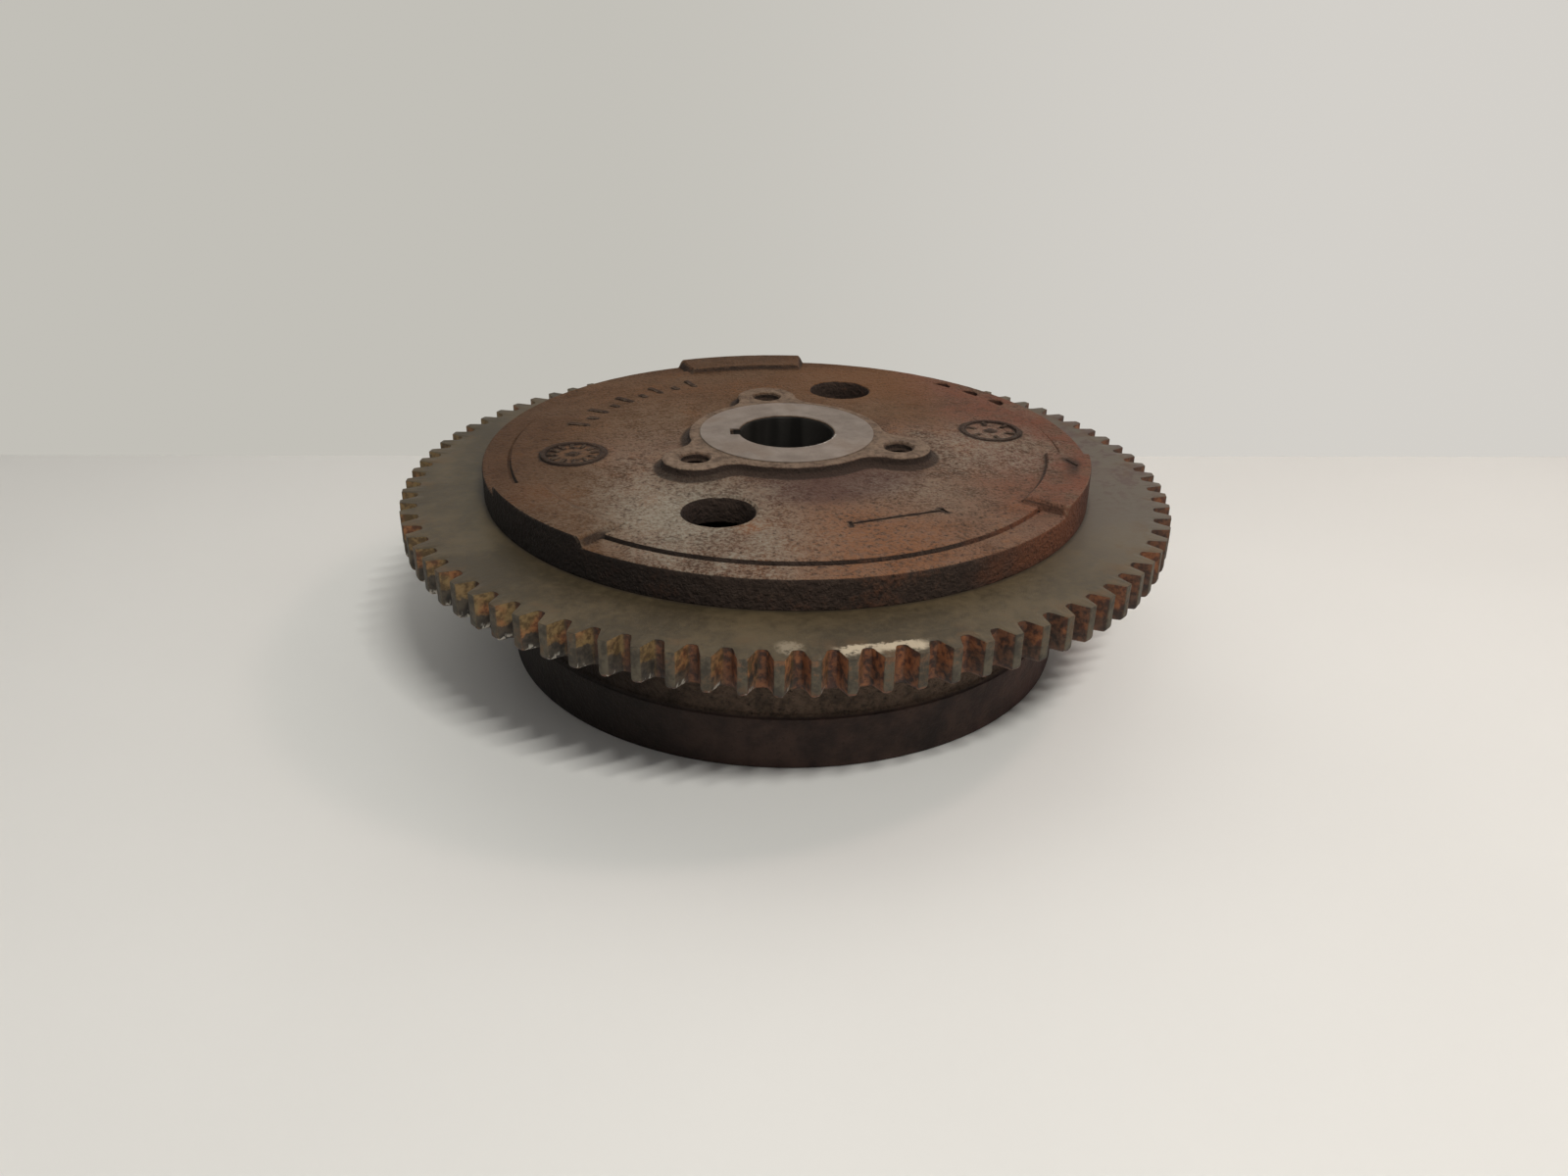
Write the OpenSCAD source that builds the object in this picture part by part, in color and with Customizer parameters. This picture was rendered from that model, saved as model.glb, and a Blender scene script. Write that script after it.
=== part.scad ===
// Magneto flywheel with a shrunk-on starter ring gear.
// The origin is on the crankshaft axis, in the plane that the open rim of the cup stands on.
// +Z runs up the crankshaft towards the hub face, and +Y passes through one puller hole.

/* [Casting] */
// Radius of the disc above the ring gear
disc_r = 87; // [86:0.5:90]
// Height of the disc's rim band above the standing plane
rim_top = 56.4; // [55:0.2:57]
// Height of the disc's face beside the rim band
face_top = 57.2; // [57:0.2:58]
// Rise of the face from the rim band to the hub
face_rise = 1.3; // [0.5:0.1:1.5]
// Radius of the step between the face and the rim band
step_r = 79.2; // [78:0.2:80]
// Radius of the turned band at the open end of the drum
drum_r = 81.8; // [81:0.1:83]
// Height of the turned band
drum_band_h = 14.6; // [10:0.2:20]
// Radius of the rough drum wall above the turned band
drum_cast_r = 80.4; // [79:0.1:80.8]
// Radius inside the drum
cup_r = 72; // [71:0.5:73]
// Height of the cup's ceiling above the standing plane
ceiling = 50.6; // [50:0.2:51]

/* [Ring gear] */
// Number of teeth
teeth = 85; // [80:1:90]
// Radius over the tooth tips
gear_tip_r = 110.06; // [109:0.01:112]
// Radius at the tooth roots
gear_root_r = 105.25; // [104:0.01:106]
// Thickness of the gear
gear_t = 10; // [8:0.5:12]
// Radius of the shrink seat
gear_seat_r = 84; // [82:0.5:85]
// Height of the gear's top face, against the disc's shoulder
gear_top = 48; // [46:0.5:48]
// Width of a tooth tip, and of the gap at the roots
tooth_land = 2.4; // [2:0.05:2.8]
// Angle of one tooth's centre
tooth_angle = 88.94; // [0:0.01:360]

/* [Rim pads] */
// Inner radius of the three raised pads
pad_inner_r = 75; // [73:0.5:78]
// Half of the angle that a pad covers
pad_half_angle = 13.5; // [8:0.5:18]
// Height of the pads' tops
pad_top = 58.9; // [58.5:0.1:59.5]

/* [Hub] */
// Radius of the raised hub
hub_r = 28.4; // [27:0.1:30]
// Height of the hub's top and of its ears
hub_top = 61.2; // [60:0.1:62]
// Radius of the circle that the puller holes lie on
puller_circle_r = 33.5; // [32:0.5:35]
// Radius of the rounded end of an ear
ear_r = 9.1; // [8:0.1:10]
// Radius of the hollow blend between the hub and an ear
ear_blend_r = 8; // [6:0.5:10]
// Tapping radius of an M8 puller hole
puller_hole_r = 3.4; // [3.3:0.05:3.5]
// Radius of the turned nut seat
seat_r = 25.2; // [24:0.1:26]
// Height of the nut seat above the hub
seat_rise = 0.35; // [0.2:0.05:0.6]
// Radius of the boss inside the cup
boss_r = 22; // [21.5:0.5:23]
// Height of the boss's lower end
boss_bottom = 26; // [24:1:28]

/* [Bore] */
// Radius of the bore's cylindrical land at its small end
bore_r = 13.5; // [12:0.1:14]
// Length of the land
bore_land = 8; // [6:0.5:10]
// Taper of the rest of the bore, as length over growth in diameter
bore_taper = 10; // [8:1:20]
// Width of the keyway
key_w = 5; // [4:0.5:6]
// Depth of the keyway into the bore's wall
key_depth = 3; // [2:0.25:3.5]
// Angle of the keyway
key_angle = 174.7; // [0:0.1:360]

/* [Holes in the disc] */
// Radius of an access hole
access_r = 9.5; // [8:0.25:10]
// Distance of the access holes from the axis
access_circle_r = 54.2; // [52:0.2:56]
// Angle of the first access hole, with the second opposite
access_angle = 60.3; // [50:0.1:70]
// Radius of a balance drilling
balance_r = 3.25; // [2.5:0.05:3.5]
// Distance of the balance drillings from the axis
balance_circle_r = 80.8; // [80.5:0.1:82]
// Depth of a balance drilling
balance_depth = 6; // [3:0.5:7]
// Angle of the middle one of the three balance drillings
balance_angle = 31.1; // [28:0.1:34]
// Angle between neighbouring balance drillings
balance_pitch = 8.15; // [7:0.05:9]

/* [Foundry marks] */
// Height of the raised marks
mark_rise = 0.5; // [0.3:0.1:0.8]
// Radius of the larger roundel
large_roundel_r = 9.3; // [7:0.1:10]
// Distance of the larger roundel from the axis
large_roundel_distance = 61.6; // [58:0.1:64]
// Angle of the larger roundel
large_roundel_angle = 180; // [175:0.1:185]
// Radius of the smaller roundel
small_roundel_r = 9.2; // [7:0.1:10]
// Distance of the smaller roundel from the axis
small_roundel_distance = 63; // [58:0.1:64]
// Angle of the smaller roundel
small_roundel_angle = 1.5; // [0:0.1:10]
// Number of tally bars
tally_count = 9; // [5:2:9]
// Angle of the first tally bar
tally_first = 157; // [150:1:160]
// Angle between neighbouring tally bars
tally_pitch = 6; // [5:0.5:8]
// Length of the dash cut into the front of the face
dash_l = 26.4; // [20:0.2:30]
// Angle of the dash's middle
dash_angle = -73; // [-80:1:-65]

/* [Magnets and pole shoes] */
// Radius of the pole shoes' faces
pole_face_r = 62; // [60:0.5:63]
// Lower end of the pole shoes and magnets
pole_bottom = 5; // [2:0.5:8]
// Height of the pole shoes and magnets
pole_h = 30; // [24:1:32]
// Half width of a magnet at the cup's wall
magnet_outer_half = 15.6; // [14:0.2:17]
// Half width of a magnet at the pole face
magnet_inner_half = 12.6; // [11:0.2:13]
// How far a magnet's face lies behind the pole faces
magnet_recess = 1.5; // [0.5:0.25:2]
// Thickness of the strip that keeps a magnet off the iron wall
spacer_t = 1; // [0.5:0.25:1.5]
// Nominal radius of a pole screw
screw_r = 2.5; // [2:0.25:3]
// Radius of a pole screw's head
screw_head_r = 4.6; // [4:0.1:5]
// Length of a pole screw
screw_l = 14; // [13:0.5:15]
// Radius of a rivet through the laminations
rivet_r = 1.5; // [1:0.1:2]
// Angle of a rivet from the pole shoe's centre
rivet_angle = 13.5; // [12:0.5:14]

/* [Breaker cam] */
// Radius of the cam's land
cam_r = 25.5; // [25:0.1:26]
// Height of the cam
cam_h = 8; // [6:0.5:10]
// How far the cam's low sector is cut back
cam_drop = 1.4; // [0.8:0.1:1.6]
// Radius of the dowel between cam and boss
dowel_r = 1.5; // [1:0.1:1.5]

/* [Hidden] */
$fn = 96;
poles = 6;
pole_names = ["magnet_", "pole_shoe_", "magnet_spacer_", "pole_screws_", "pole_rivets_"];
eps = 0.5;
iron = "#5a4234";
steel = "#6b6459";
bright = "#8f8f8c";
ears = 3;
ear_phase = 90;
gear_bottom = gear_top - gear_t;
face_at_hub = face_top + face_rise;
rim_groove_w = 1.2;
rim_groove_d = 0.5;
edge_chamfer = 0.7;
ceiling_fillet = 4;
boss_fillet = 5;
seat_top = hub_top + seat_rise;
land_bottom = seat_top - edge_chamfer - bore_land;
bore_bottom_r = bore_r + (land_bottom - boss_bottom) / bore_taper / 2;
taper_angle = atan(1 / (2 * bore_taper));
roundel_band = 1.5;
roundel_dot_r = 1.5;
large_roundel_ticks = 12;
small_roundel_ticks = 6;
tick_w = 0.9;
tick_l = 2.4;
tick_distance = 3.2;
tally_w = 1.6;
tally_long = 6;
tally_short = 2.4;
tally_long_distance = 64;
tally_short_distance = 62.2;
dash_distance = 60;
dash_turn = -6.3;
dash_w = 1;
puller_hole_past = 6;
screw_from_end = 7;
screw_heights = [pole_bottom + screw_from_end, pole_bottom + pole_h - screw_from_end];
screw_head_h = 2.5;
screw_sink = 0.3;
slot_w = 1.2;
slot_d = 1.1;
rivet_circle_r = 68;
rivet_head_r = 2.5;
rivet_head_h = 0.8;
cam_bottom = boss_bottom + 1;
cam_low_r = cam_r + 3;
bevel_r = gear_tip_r - 1.1;
gear_bore_chamfer = 0.6;

function polar(r, a) = [r * cos(a), r * sin(a)];

function ear_angle(i) = ear_phase + i * 360 / ears;

function pole_angle(i) = (i - 1) * 360 / poles;

function magnet_angle(i) = pole_angle(i) + 180 / poles;

// Height of the slightly conical face at a distance r from the axis
function face_z(r) = face_top + face_rise * (step_r - r) / (step_r - hub_r);

// The part of a ring within half_angle of the angle mid
module arc_block(r_in, r_out, z0, z1, mid, half_angle) {
    translate([0, 0, z0])
        rotate(mid - half_angle)
            rotate_extrude(angle = 2 * half_angle)
                translate([r_in, 0]) square([r_out - r_in, z1 - z0]);
}

// Half section of the casting, turned about the axis
module body_section() {
    polygon([
        [0, boss_bottom],
        [boss_r - edge_chamfer, boss_bottom],
        [boss_r, boss_bottom + edge_chamfer],
        [boss_r, ceiling],
        [cup_r, ceiling],
        [cup_r, edge_chamfer],
        [cup_r + edge_chamfer, 0],
        [drum_r - edge_chamfer, 0],
        [drum_r, edge_chamfer],
        [drum_r, drum_band_h],
        [drum_cast_r, drum_band_h + 1],
        [drum_cast_r, gear_bottom],
        [gear_seat_r, gear_bottom],
        [gear_seat_r, gear_top],
        [disc_r, gear_top],
        [disc_r, rim_top - edge_chamfer],
        [disc_r - edge_chamfer, rim_top],
        [step_r + rim_groove_w, rim_top],
        [step_r + rim_groove_w / 2, rim_top - rim_groove_d],
        [step_r, rim_top - rim_groove_d],
        [step_r, face_top],
        [hub_r, face_at_hub],
        [hub_r, hub_top],
        [seat_r, hub_top],
        [seat_r, seat_top],
        [0, seat_top],
    ]);
    corner_fillet([cup_r, ceiling], ceiling_fillet, -1);
    corner_fillet([boss_r, ceiling], boss_fillet, 1);
}

// Material in a ceiling corner; side is +1 where the wall is towards the axis
module corner_fillet(corner, r, side) {
    difference() {
        translate([side > 0 ? corner[0] : corner[0] - r, corner[1] - r]) square([r, r]);
        translate([corner[0] + side * r, corner[1] - r]) circle(r = r);
    }
}

// Outline of one ear with the hollow blends that join it to the hub
module ear_outline() {
    blend_far = hub_r + ear_blend_r;
    blend_near = ear_r + ear_blend_r;
    cosine = (blend_far ^ 2 + puller_circle_r ^ 2 - blend_near ^ 2) / (2 * blend_far * puller_circle_r);
    blend_angle = acos(cosine);
    translate([puller_circle_r, 0]) circle(r = ear_r);
    difference() {
        polygon([
            [0, 0],
            polar(blend_far, -blend_angle),
            [puller_circle_r, 0],
            polar(blend_far, blend_angle),
        ]);
        for (side = [-1, 1]) translate(polar(blend_far, side * blend_angle)) circle(r = ear_blend_r);
    }
}

module ears_solid() {
    for (i = [0:ears - 1])
        rotate(ear_angle(i))
            translate([0, 0, ceiling + 1])
                linear_extrude(hub_top - ceiling - 1) ear_outline();
}

// Foundry roundel: a raised ring with a dot in the middle and short ticks inside it
module roundel(r, distance, angle, ticks) {
    rotate(angle)
        translate([distance, 0, face_z(distance) - eps]) {
            difference() {
                cylinder(r = r, h = eps + mark_rise);
                translate([0, 0, -eps]) cylinder(r = r - roundel_band, h = 3 * eps + mark_rise);
            }
            cylinder(r = roundel_dot_r, h = eps + mark_rise);
            for (i = [0:ticks - 1])
                rotate(90 - angle + i * 360 / ticks)
                    translate([r - tick_distance - tick_l / 2, -tick_w / 2, 0])
                        cube([tick_l, tick_w, eps + mark_rise]);
        }
}

// Row of long and short foundry tally bars along an arc
module tally_bars() {
    for (i = [0:tally_count - 1]) {
        length = i % 2 == 0 ? tally_long : tally_short;
        distance = i % 2 == 0 ? tally_long_distance : tally_short_distance;
        rotate(tally_first - tally_pitch * i)
            translate([distance - length / 2, -tally_w / 2, face_z(distance) - eps])
                cube([length, tally_w, eps + mark_rise]);
    }
}

// Straight groove across the front of the face
module dash_cut() {
    rotate(dash_angle)
        translate([dash_distance, 0, face_z(dash_distance) - mark_rise])
            rotate(dash_turn)
                translate([-dash_w / 2, -dash_l / 2, 0]) cube([dash_w, dash_l, 3 * mark_rise]);
}

module bore_cut() {
    translate([0, 0, seat_top - edge_chamfer])
        cylinder(r1 = bore_r, r2 = bore_r + edge_chamfer + eps, h = edge_chamfer + eps);
    translate([0, 0, land_bottom]) cylinder(r = bore_r, h = seat_top - land_bottom);
    translate([0, 0, boss_bottom]) cylinder(r1 = bore_bottom_r, r2 = bore_r, h = land_bottom - boss_bottom);
    translate([0, 0, boss_bottom - 1]) cylinder(r = bore_bottom_r, h = 1);
    rotate(key_angle) keyway_cut();
}

// Key slot that leans outwards with the taper
module keyway_cut() {
    translate([bore_r + key_depth, 0, seat_top])
        rotate([0, -taper_angle, 0])
            translate([-bore_r - key_depth, -key_w / 2, -(seat_top - boss_bottom) - 2])
                cube([bore_r + key_depth, key_w, seat_top - boss_bottom + 4]);
}

module disc_holes_cut() {
    for (side = [0, 1])
        rotate(access_angle + 180 * side)
            translate([access_circle_r, 0, ceiling - 1]) cylinder(r = access_r, h = seat_top - ceiling);
    for (i = [-1:1])
        rotate(balance_angle + i * balance_pitch)
            translate([balance_circle_r, 0, rim_top - balance_depth]) {
                cylinder(r = balance_r, h = balance_depth + 3);
                translate([0, 0, -balance_r / 2]) cylinder(r1 = 0, r2 = balance_r, h = balance_r / 2);
            }
    for (i = [0:ears - 1])
        rotate(ear_angle(i))
            translate([puller_circle_r, 0, 0]) {
                translate([0, 0, ceiling - puller_hole_past])
                    cylinder(r = puller_hole_r, h = seat_top - ceiling + puller_hole_past + 1);
                translate([0, 0, hub_top - edge_chamfer])
                    cylinder(r1 = puller_hole_r, r2 = puller_hole_r + 2 * edge_chamfer, h = 2 * edge_chamfer);
            }
}

// Tapped blind holes in the drum's wall
module pole_screw_holes_cut() {
    hole_end = pole_face_r + screw_sink + screw_l + 1;
    for (i = [1:poles]) for (z = screw_heights)
        at_pole(i, z) translate([0, 0, cup_r - 1]) cylinder(r = screw_r, h = hole_end - cup_r + 1);
}

// Turns and lifts its children so that their +Z runs out along the centre line of pole i
module at_pole(i, z) {
    rotate(pole_angle(i)) translate([0, 0, z]) rotate([0, 90, 0]) children();
}

module dowel_bar() {
    rotate(-90)
        translate([boss_r, 0, cam_bottom]) cylinder(r = dowel_r, h = cam_h);
}

module flywheel_body() {
    color(iron)
        difference() {
            union() {
                rotate_extrude() body_section();
                ears_solid();
                for (i = [0:ears - 1])
                    arc_block(pad_inner_r, disc_r, gear_top + 1, pad_top, ear_angle(i), pad_half_angle);
                roundel(
                    large_roundel_r, large_roundel_distance, large_roundel_angle, large_roundel_ticks
                );
                roundel(
                    small_roundel_r, small_roundel_distance, small_roundel_angle, small_roundel_ticks
                );
                tally_bars();
            }
            bore_cut();
            disc_holes_cut();
            pole_screw_holes_cut();
            dowel_bar();
            dash_cut();
        }
}

// Outline of the toothed ring: straight flanks between the root and tip lands
module gear_outline() {
    pitch = 360 / teeth;
    tip_half = asin(tooth_land / 2 / gear_tip_r);
    gap_half = asin(tooth_land / 2 / gear_root_r);
    polygon([for (i = [0:teeth - 1]) for (corner = [
        [gear_root_r, -pitch / 2 + gap_half],
        [gear_tip_r, -tip_half],
        [gear_tip_r, tip_half],
        [gear_root_r, pitch / 2 - gap_half],
    ]) polar(corner[0], tooth_angle + i * pitch + corner[1])]);
}

module ring_gear() {
    color(steel)
        difference() {
            translate([0, 0, gear_bottom]) intersection() {
                linear_extrude(gear_t) gear_outline();
                cylinder(r1 = bevel_r, r2 = bevel_r + gear_t, h = gear_t);
            }
            translate([0, 0, gear_bottom - 1]) cylinder(r = gear_seat_r, h = gear_t + 2);
            translate([0, 0, gear_bottom - 1])
                cylinder(r1 = gear_seat_r + gear_bore_chamfer + 1, r2 = gear_seat_r, h = gear_bore_chamfer + 1);
        }
}

// Plan of a magnet's slot, wider at the wall so that the pole shoes trap the magnet
module magnet_plan(i) {
    rotate(magnet_angle(i))
        polygon([
            [pole_face_r, -magnet_inner_half],
            [pole_face_r, magnet_inner_half],
            [cup_r + 1, magnet_outer_half],
            [cup_r + 1, -magnet_outer_half],
        ]);
}

module ring_plan(r_in, r_out) {
    difference() {
        circle(r = r_out);
        circle(r = r_in);
    }
}

module pole_stack(r_in, r_out) {
    translate([0, 0, pole_bottom])
        linear_extrude(pole_h)
            intersection() {
                ring_plan(r_in, r_out);
                children();
            }
}

module magnet(i) {
    color(bright) pole_stack(pole_face_r + magnet_recess, cup_r - spacer_t) magnet_plan(i);
}

module magnet_spacer(i) {
    color("goldenrod") pole_stack(cup_r - spacer_t, cup_r) magnet_plan(i);
}

// Plan of the space between two neighbouring magnets
module pole_plan(i) {
    reach = 90;
    half = 180 / poles;
    difference() {
        rotate(pole_angle(i)) polygon([[0, 0], polar(reach, -half), [reach, 0], polar(reach, half)]);
        magnet_plan(i);
        magnet_plan(i - 1);
        for (side = [-1, 1])
            rotate(pole_angle(i) + side * half)
                translate([0, -magnet_inner_half]) square([pole_face_r + eps, 2 * magnet_inner_half]);
    }
}

module pole_shoe(i) {
    color(steel)
        difference() {
            pole_stack(pole_face_r, cup_r) pole_plan(i);
            for (z = screw_heights) at_pole(i, z) {
                translate([0, 0, pole_face_r]) cylinder(r = screw_r, h = cup_r - pole_face_r + 2);
                screw_head();
                translate([0, 0, pole_face_r - 3]) cylinder(r = screw_head_r, h = 3 + screw_sink);
            }
            pole_rivet_shafts(i);
        }
}

// Countersunk head with its flat face just behind the pole face
module screw_head() {
    translate([0, 0, pole_face_r + screw_sink])
        cylinder(r1 = screw_head_r, r2 = screw_r, h = screw_head_h);
}

module pole_screws(i) {
    color(bright)
        for (z = screw_heights) at_pole(i, z) {
            difference() {
                union() {
                    screw_head();
                    translate([0, 0, pole_face_r + screw_sink]) cylinder(r = screw_r, h = screw_l);
                }
                translate([-slot_w / 2, -screw_head_r - 1, pole_face_r])
                    cube([slot_w, 2 * screw_head_r + 2, screw_sink + slot_d]);
            }
        }
}

module at_rivets(i) {
    for (side = [-1, 1])
        rotate(pole_angle(i) + side * rivet_angle) translate([rivet_circle_r, 0, pole_bottom]) children();
}

module pole_rivet_shafts(i) {
    at_rivets(i) translate([0, 0, -1]) cylinder(r = rivet_r, h = pole_h + 2);
}

module pole_rivets(i) {
    color(bright)
        at_rivets(i) {
            translate([0, 0, -rivet_head_h]) cylinder(r = rivet_head_r, h = rivet_head_h);
            cylinder(r = rivet_r, h = pole_h);
            translate([0, 0, pole_h]) cylinder(r = rivet_head_r, h = rivet_head_h);
        }
}

module breaker_cam() {
    color(bright)
        difference() {
            translate([0, 0, cam_bottom]) intersection() {
                cylinder(r = cam_r, h = cam_h);
                translate([cam_r - cam_drop - cam_low_r, 0, 0]) cylinder(r = cam_low_r, h = cam_h);
            }
            translate([0, 0, cam_bottom - 1]) cylinder(r = boss_r, h = cam_h + 2);
            dowel_bar();
        }
}

module cam_dowel() {
    color(bright) dowel_bar();
}

flywheel_body();
ring_gear();
breaker_cam();
cam_dowel();
for (i = [1:poles]) magnet(i);
for (i = [1:poles]) pole_shoe(i);
for (i = [1:poles]) magnet_spacer(i);
for (i = [1:poles]) pole_screws(i);
for (i = [1:poles]) pole_rivets(i);
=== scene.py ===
# %% [markdown]
# # A rusty magneto flywheel
#
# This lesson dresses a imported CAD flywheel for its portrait. The real one is an iron casting with a
# toothed starter ring shrunk on, and magnets and pole shoes inside the cup. The frame from the CAD
# fixes every size, and each visible piece is modelled again here with rounded edges, casting skin,
# laminations and wear, in the same place.

# %% Load the frame
import math
import random

import bpy
from mathutils import Matrix, Vector
from mathutils.kdtree import KDTree


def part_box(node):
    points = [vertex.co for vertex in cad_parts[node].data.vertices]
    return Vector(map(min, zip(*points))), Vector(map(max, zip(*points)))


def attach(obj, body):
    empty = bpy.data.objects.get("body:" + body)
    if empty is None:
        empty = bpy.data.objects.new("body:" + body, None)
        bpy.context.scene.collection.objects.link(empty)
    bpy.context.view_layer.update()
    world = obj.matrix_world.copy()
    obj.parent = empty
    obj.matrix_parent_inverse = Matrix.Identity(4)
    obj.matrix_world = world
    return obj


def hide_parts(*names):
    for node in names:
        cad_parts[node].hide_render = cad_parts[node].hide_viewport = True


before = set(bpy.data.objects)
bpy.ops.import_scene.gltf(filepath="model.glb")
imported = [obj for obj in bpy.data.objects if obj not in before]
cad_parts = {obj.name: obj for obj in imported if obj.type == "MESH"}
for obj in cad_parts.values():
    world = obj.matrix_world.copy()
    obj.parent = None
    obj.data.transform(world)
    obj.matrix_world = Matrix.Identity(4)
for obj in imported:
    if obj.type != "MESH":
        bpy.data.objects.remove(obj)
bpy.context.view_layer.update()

MM = 0.001
print("nodes in the frame:", len(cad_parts))

# %% [markdown]
# ## Sizes from the frame
#
# Every piece has a box in the CAD, so the main radii and heights are read from there. Only the small
# details that a box can't tell, such as where a groove lies, are given as numbers, in millimetres.

# %% Read the main sizes in millimetres
def box_mm(node):
    low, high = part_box(node)
    return [v / MM for v in low], [v / MM for v in high]


BODY_HIGH = box_mm("flywheel_body")[1]
GEAR_LOW, GEAR_HIGH = box_mm("ring_gear")
CAM_LOW, CAM_HIGH = box_mm("breaker_cam")
SHOE_LOW, SHOE_HIGH = box_mm("pole_shoe_1")
DISC_R = BODY_HIGH[0]
SEAT_TOP = BODY_HIGH[2]
GEAR_TIP_R = GEAR_HIGH[1]
GEAR_BOTTOM, GEAR_TOP = GEAR_LOW[2], GEAR_HIGH[2]
print("disc radius", DISC_R, "top", SEAT_TOP, "gear", GEAR_TIP_R, GEAR_BOTTOM, GEAR_TOP)

# %% Details that the boxes don't show
HUB_TOP = SEAT_TOP - 0.35
HUB_R = 28.4
SEAT_R = 25.2
BORE_R = 13.5
BORE_BOTTOM_R = 14.84
BOSS_R = 22.0
BOSS_BOTTOM = CAM_LOW[2] - 1.0
CUP_R = 72.0
CEILING = 50.6
DRUM_R = 81.8
DRUM_CAST_R = 80.4
DRUM_BAND = 14.6
GEAR_SEAT_R = 84.0
RIM_TOP = 56.4
FACE_EDGE_Z = 57.2
FACE_HUB_Z = 58.5
STEP_R = 79.2
PAD_TOP = 58.9
PAD_INNER_R = 75.0
PAD_HALF = 13.5
PULLER_CIRCLE_R = 33.5
EAR_R = 9.1
EAR_BLEND_R = 8.0
EAR_ANGLES = (90, 210, 330)


def face_z(r):
    """Height of the slightly conical face at a radius."""
    return FACE_EDGE_Z + (FACE_HUB_Z - FACE_EDGE_Z) * (STEP_R - r) / (STEP_R - HUB_R)


def polar(r, degrees):
    a = math.radians(degrees)
    return r * math.cos(a), r * math.sin(a)


# %% [markdown]
# ## The camera
#
# The view is a close one from the front and about 27 degrees above, taken with a wide phone lens, so
# the near teeth look large. The camera goes in first, and everything is judged through it.

# %% Place the camera
CAMERA_FROM = -101.3
CAMERA_DISTANCE = 344.6
CAMERA_HEIGHT = 183.5
CAMERA_TILT = 26.68
CAMERA_ROLL = 1.03
LENS = 28.66

cam_data = bpy.data.cameras.new("camera")
camera = bpy.data.objects.new("camera", cam_data)
bpy.context.scene.collection.objects.link(camera)
cam_data.lens = LENS
cam_data.sensor_width = 36.0
cam_data.clip_start = 0.01
cam_x, cam_y = polar(CAMERA_DISTANCE, CAMERA_FROM)
turn_to_face = Matrix.Rotation(math.radians(CAMERA_FROM + 90), 4, "Z")
tilt_down = Matrix.Rotation(math.radians(90 - CAMERA_TILT), 4, "X")
roll = Matrix.Rotation(math.radians(CAMERA_ROLL), 4, "Z")
place = Matrix.Translation(Vector((cam_x, cam_y, CAMERA_HEIGHT)) * MM)
camera.matrix_world = place @ turn_to_face @ tilt_down @ roll
bpy.context.scene.camera = camera
print("camera at", [round(v, 4) for v in camera.matrix_world.translation])

# %% [markdown]
# ## Tools for modelling
#
# Most pieces of an engine are turned on a lathe or drawn as an outline and pulled up. Two helpers do
# the same here: one pulls a single point along a section and spins it, and the other pulls a ring of
# points up through a stack of outlines. Both leave the piece's place in its mesh.

# %% Small helpers for edit mode
def clear_selection():
    if bpy.context.object and bpy.context.object.mode != "OBJECT":
        bpy.ops.object.mode_set(mode="OBJECT")
    bpy.ops.object.select_all(action="DESELECT")


def pick(ob):
    clear_selection()
    ob.select_set(True)
    bpy.context.view_layer.objects.active = ob


MERGE_WITHIN = 0.002


def tidy_mesh(ob):
    """Merges doubles and turns every face outwards."""
    pick(ob)
    bpy.ops.object.mode_set(mode="EDIT")
    bpy.ops.mesh.select_all(action="SELECT")
    bpy.ops.mesh.remove_doubles(threshold=MERGE_WITHIN * MM)
    bpy.ops.mesh.delete_loose()
    bpy.ops.mesh.select_all(action="SELECT")
    bpy.ops.mesh.normals_make_consistent(inside=False)
    bpy.ops.object.mode_set(mode="OBJECT")


def settle(ob):
    """Moves the object's place, turn and size into its mesh."""
    pick(ob)
    bpy.ops.object.transform_apply(location=True, rotation=True, scale=True)


def smooth(ob, degrees=32):
    pick(ob)
    bpy.ops.object.shade_smooth_by_angle(angle=math.radians(degrees))


def apply_modifier(ob, kind, **settings):
    pick(ob)
    mod = ob.modifiers.new(kind.title(), kind)
    for key, value in settings.items():
        setattr(mod, key, value)
    bpy.ops.object.modifier_apply(modifier=mod.name)


def bevel(ob, width, segments=2, degrees=35):
    apply_modifier(ob, "BEVEL", width=width * MM, segments=segments, limit_method="ANGLE",
                   angle_limit=math.radians(degrees), miter_outer="MITER_ARC")


def carve(ob, tools, operation="DIFFERENCE"):
    """Cuts the tools out of ob, or joins them to it, and removes the tools."""
    for tool in tools:
        apply_modifier(ob, "BOOLEAN", operation=operation, solver="MANIFOLD", object=tool)
        bpy.data.objects.remove(tool)


# %% A rounded section, a lathe and a loft
def rounded(corners, per_arc=5):
    """Points of a closed section whose corners (r, z, fillet) are rounded."""
    points = []
    count = len(corners)
    for i, (x, y, fillet) in enumerate(corners):
        here = Vector((x, y))
        before = Vector(corners[i - 1][:2]) - here
        after = Vector(corners[(i + 1) % count][:2]) - here
        half = before.angle(after) / 2
        if fillet <= 0 or half > math.radians(89):
            points.append((x, y))
            continue
        reach = min(fillet / math.tan(half), before.length / 2.05, after.length / 2.05)
        centre_way = (before.normalized() + after.normalized()).normalized()
        centre = here + centre_way * (reach / math.cos(half))
        start = here + before.normalized() * reach - centre
        end = here + after.normalized() * reach - centre
        sweep = start.angle_signed(end)
        for k in range(per_arc + 1):
            spoke = start.copy()
            spoke.rotate(Matrix.Rotation(-sweep * k / per_arc, 2))
            points.append(tuple(centre + spoke))
    return points


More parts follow.
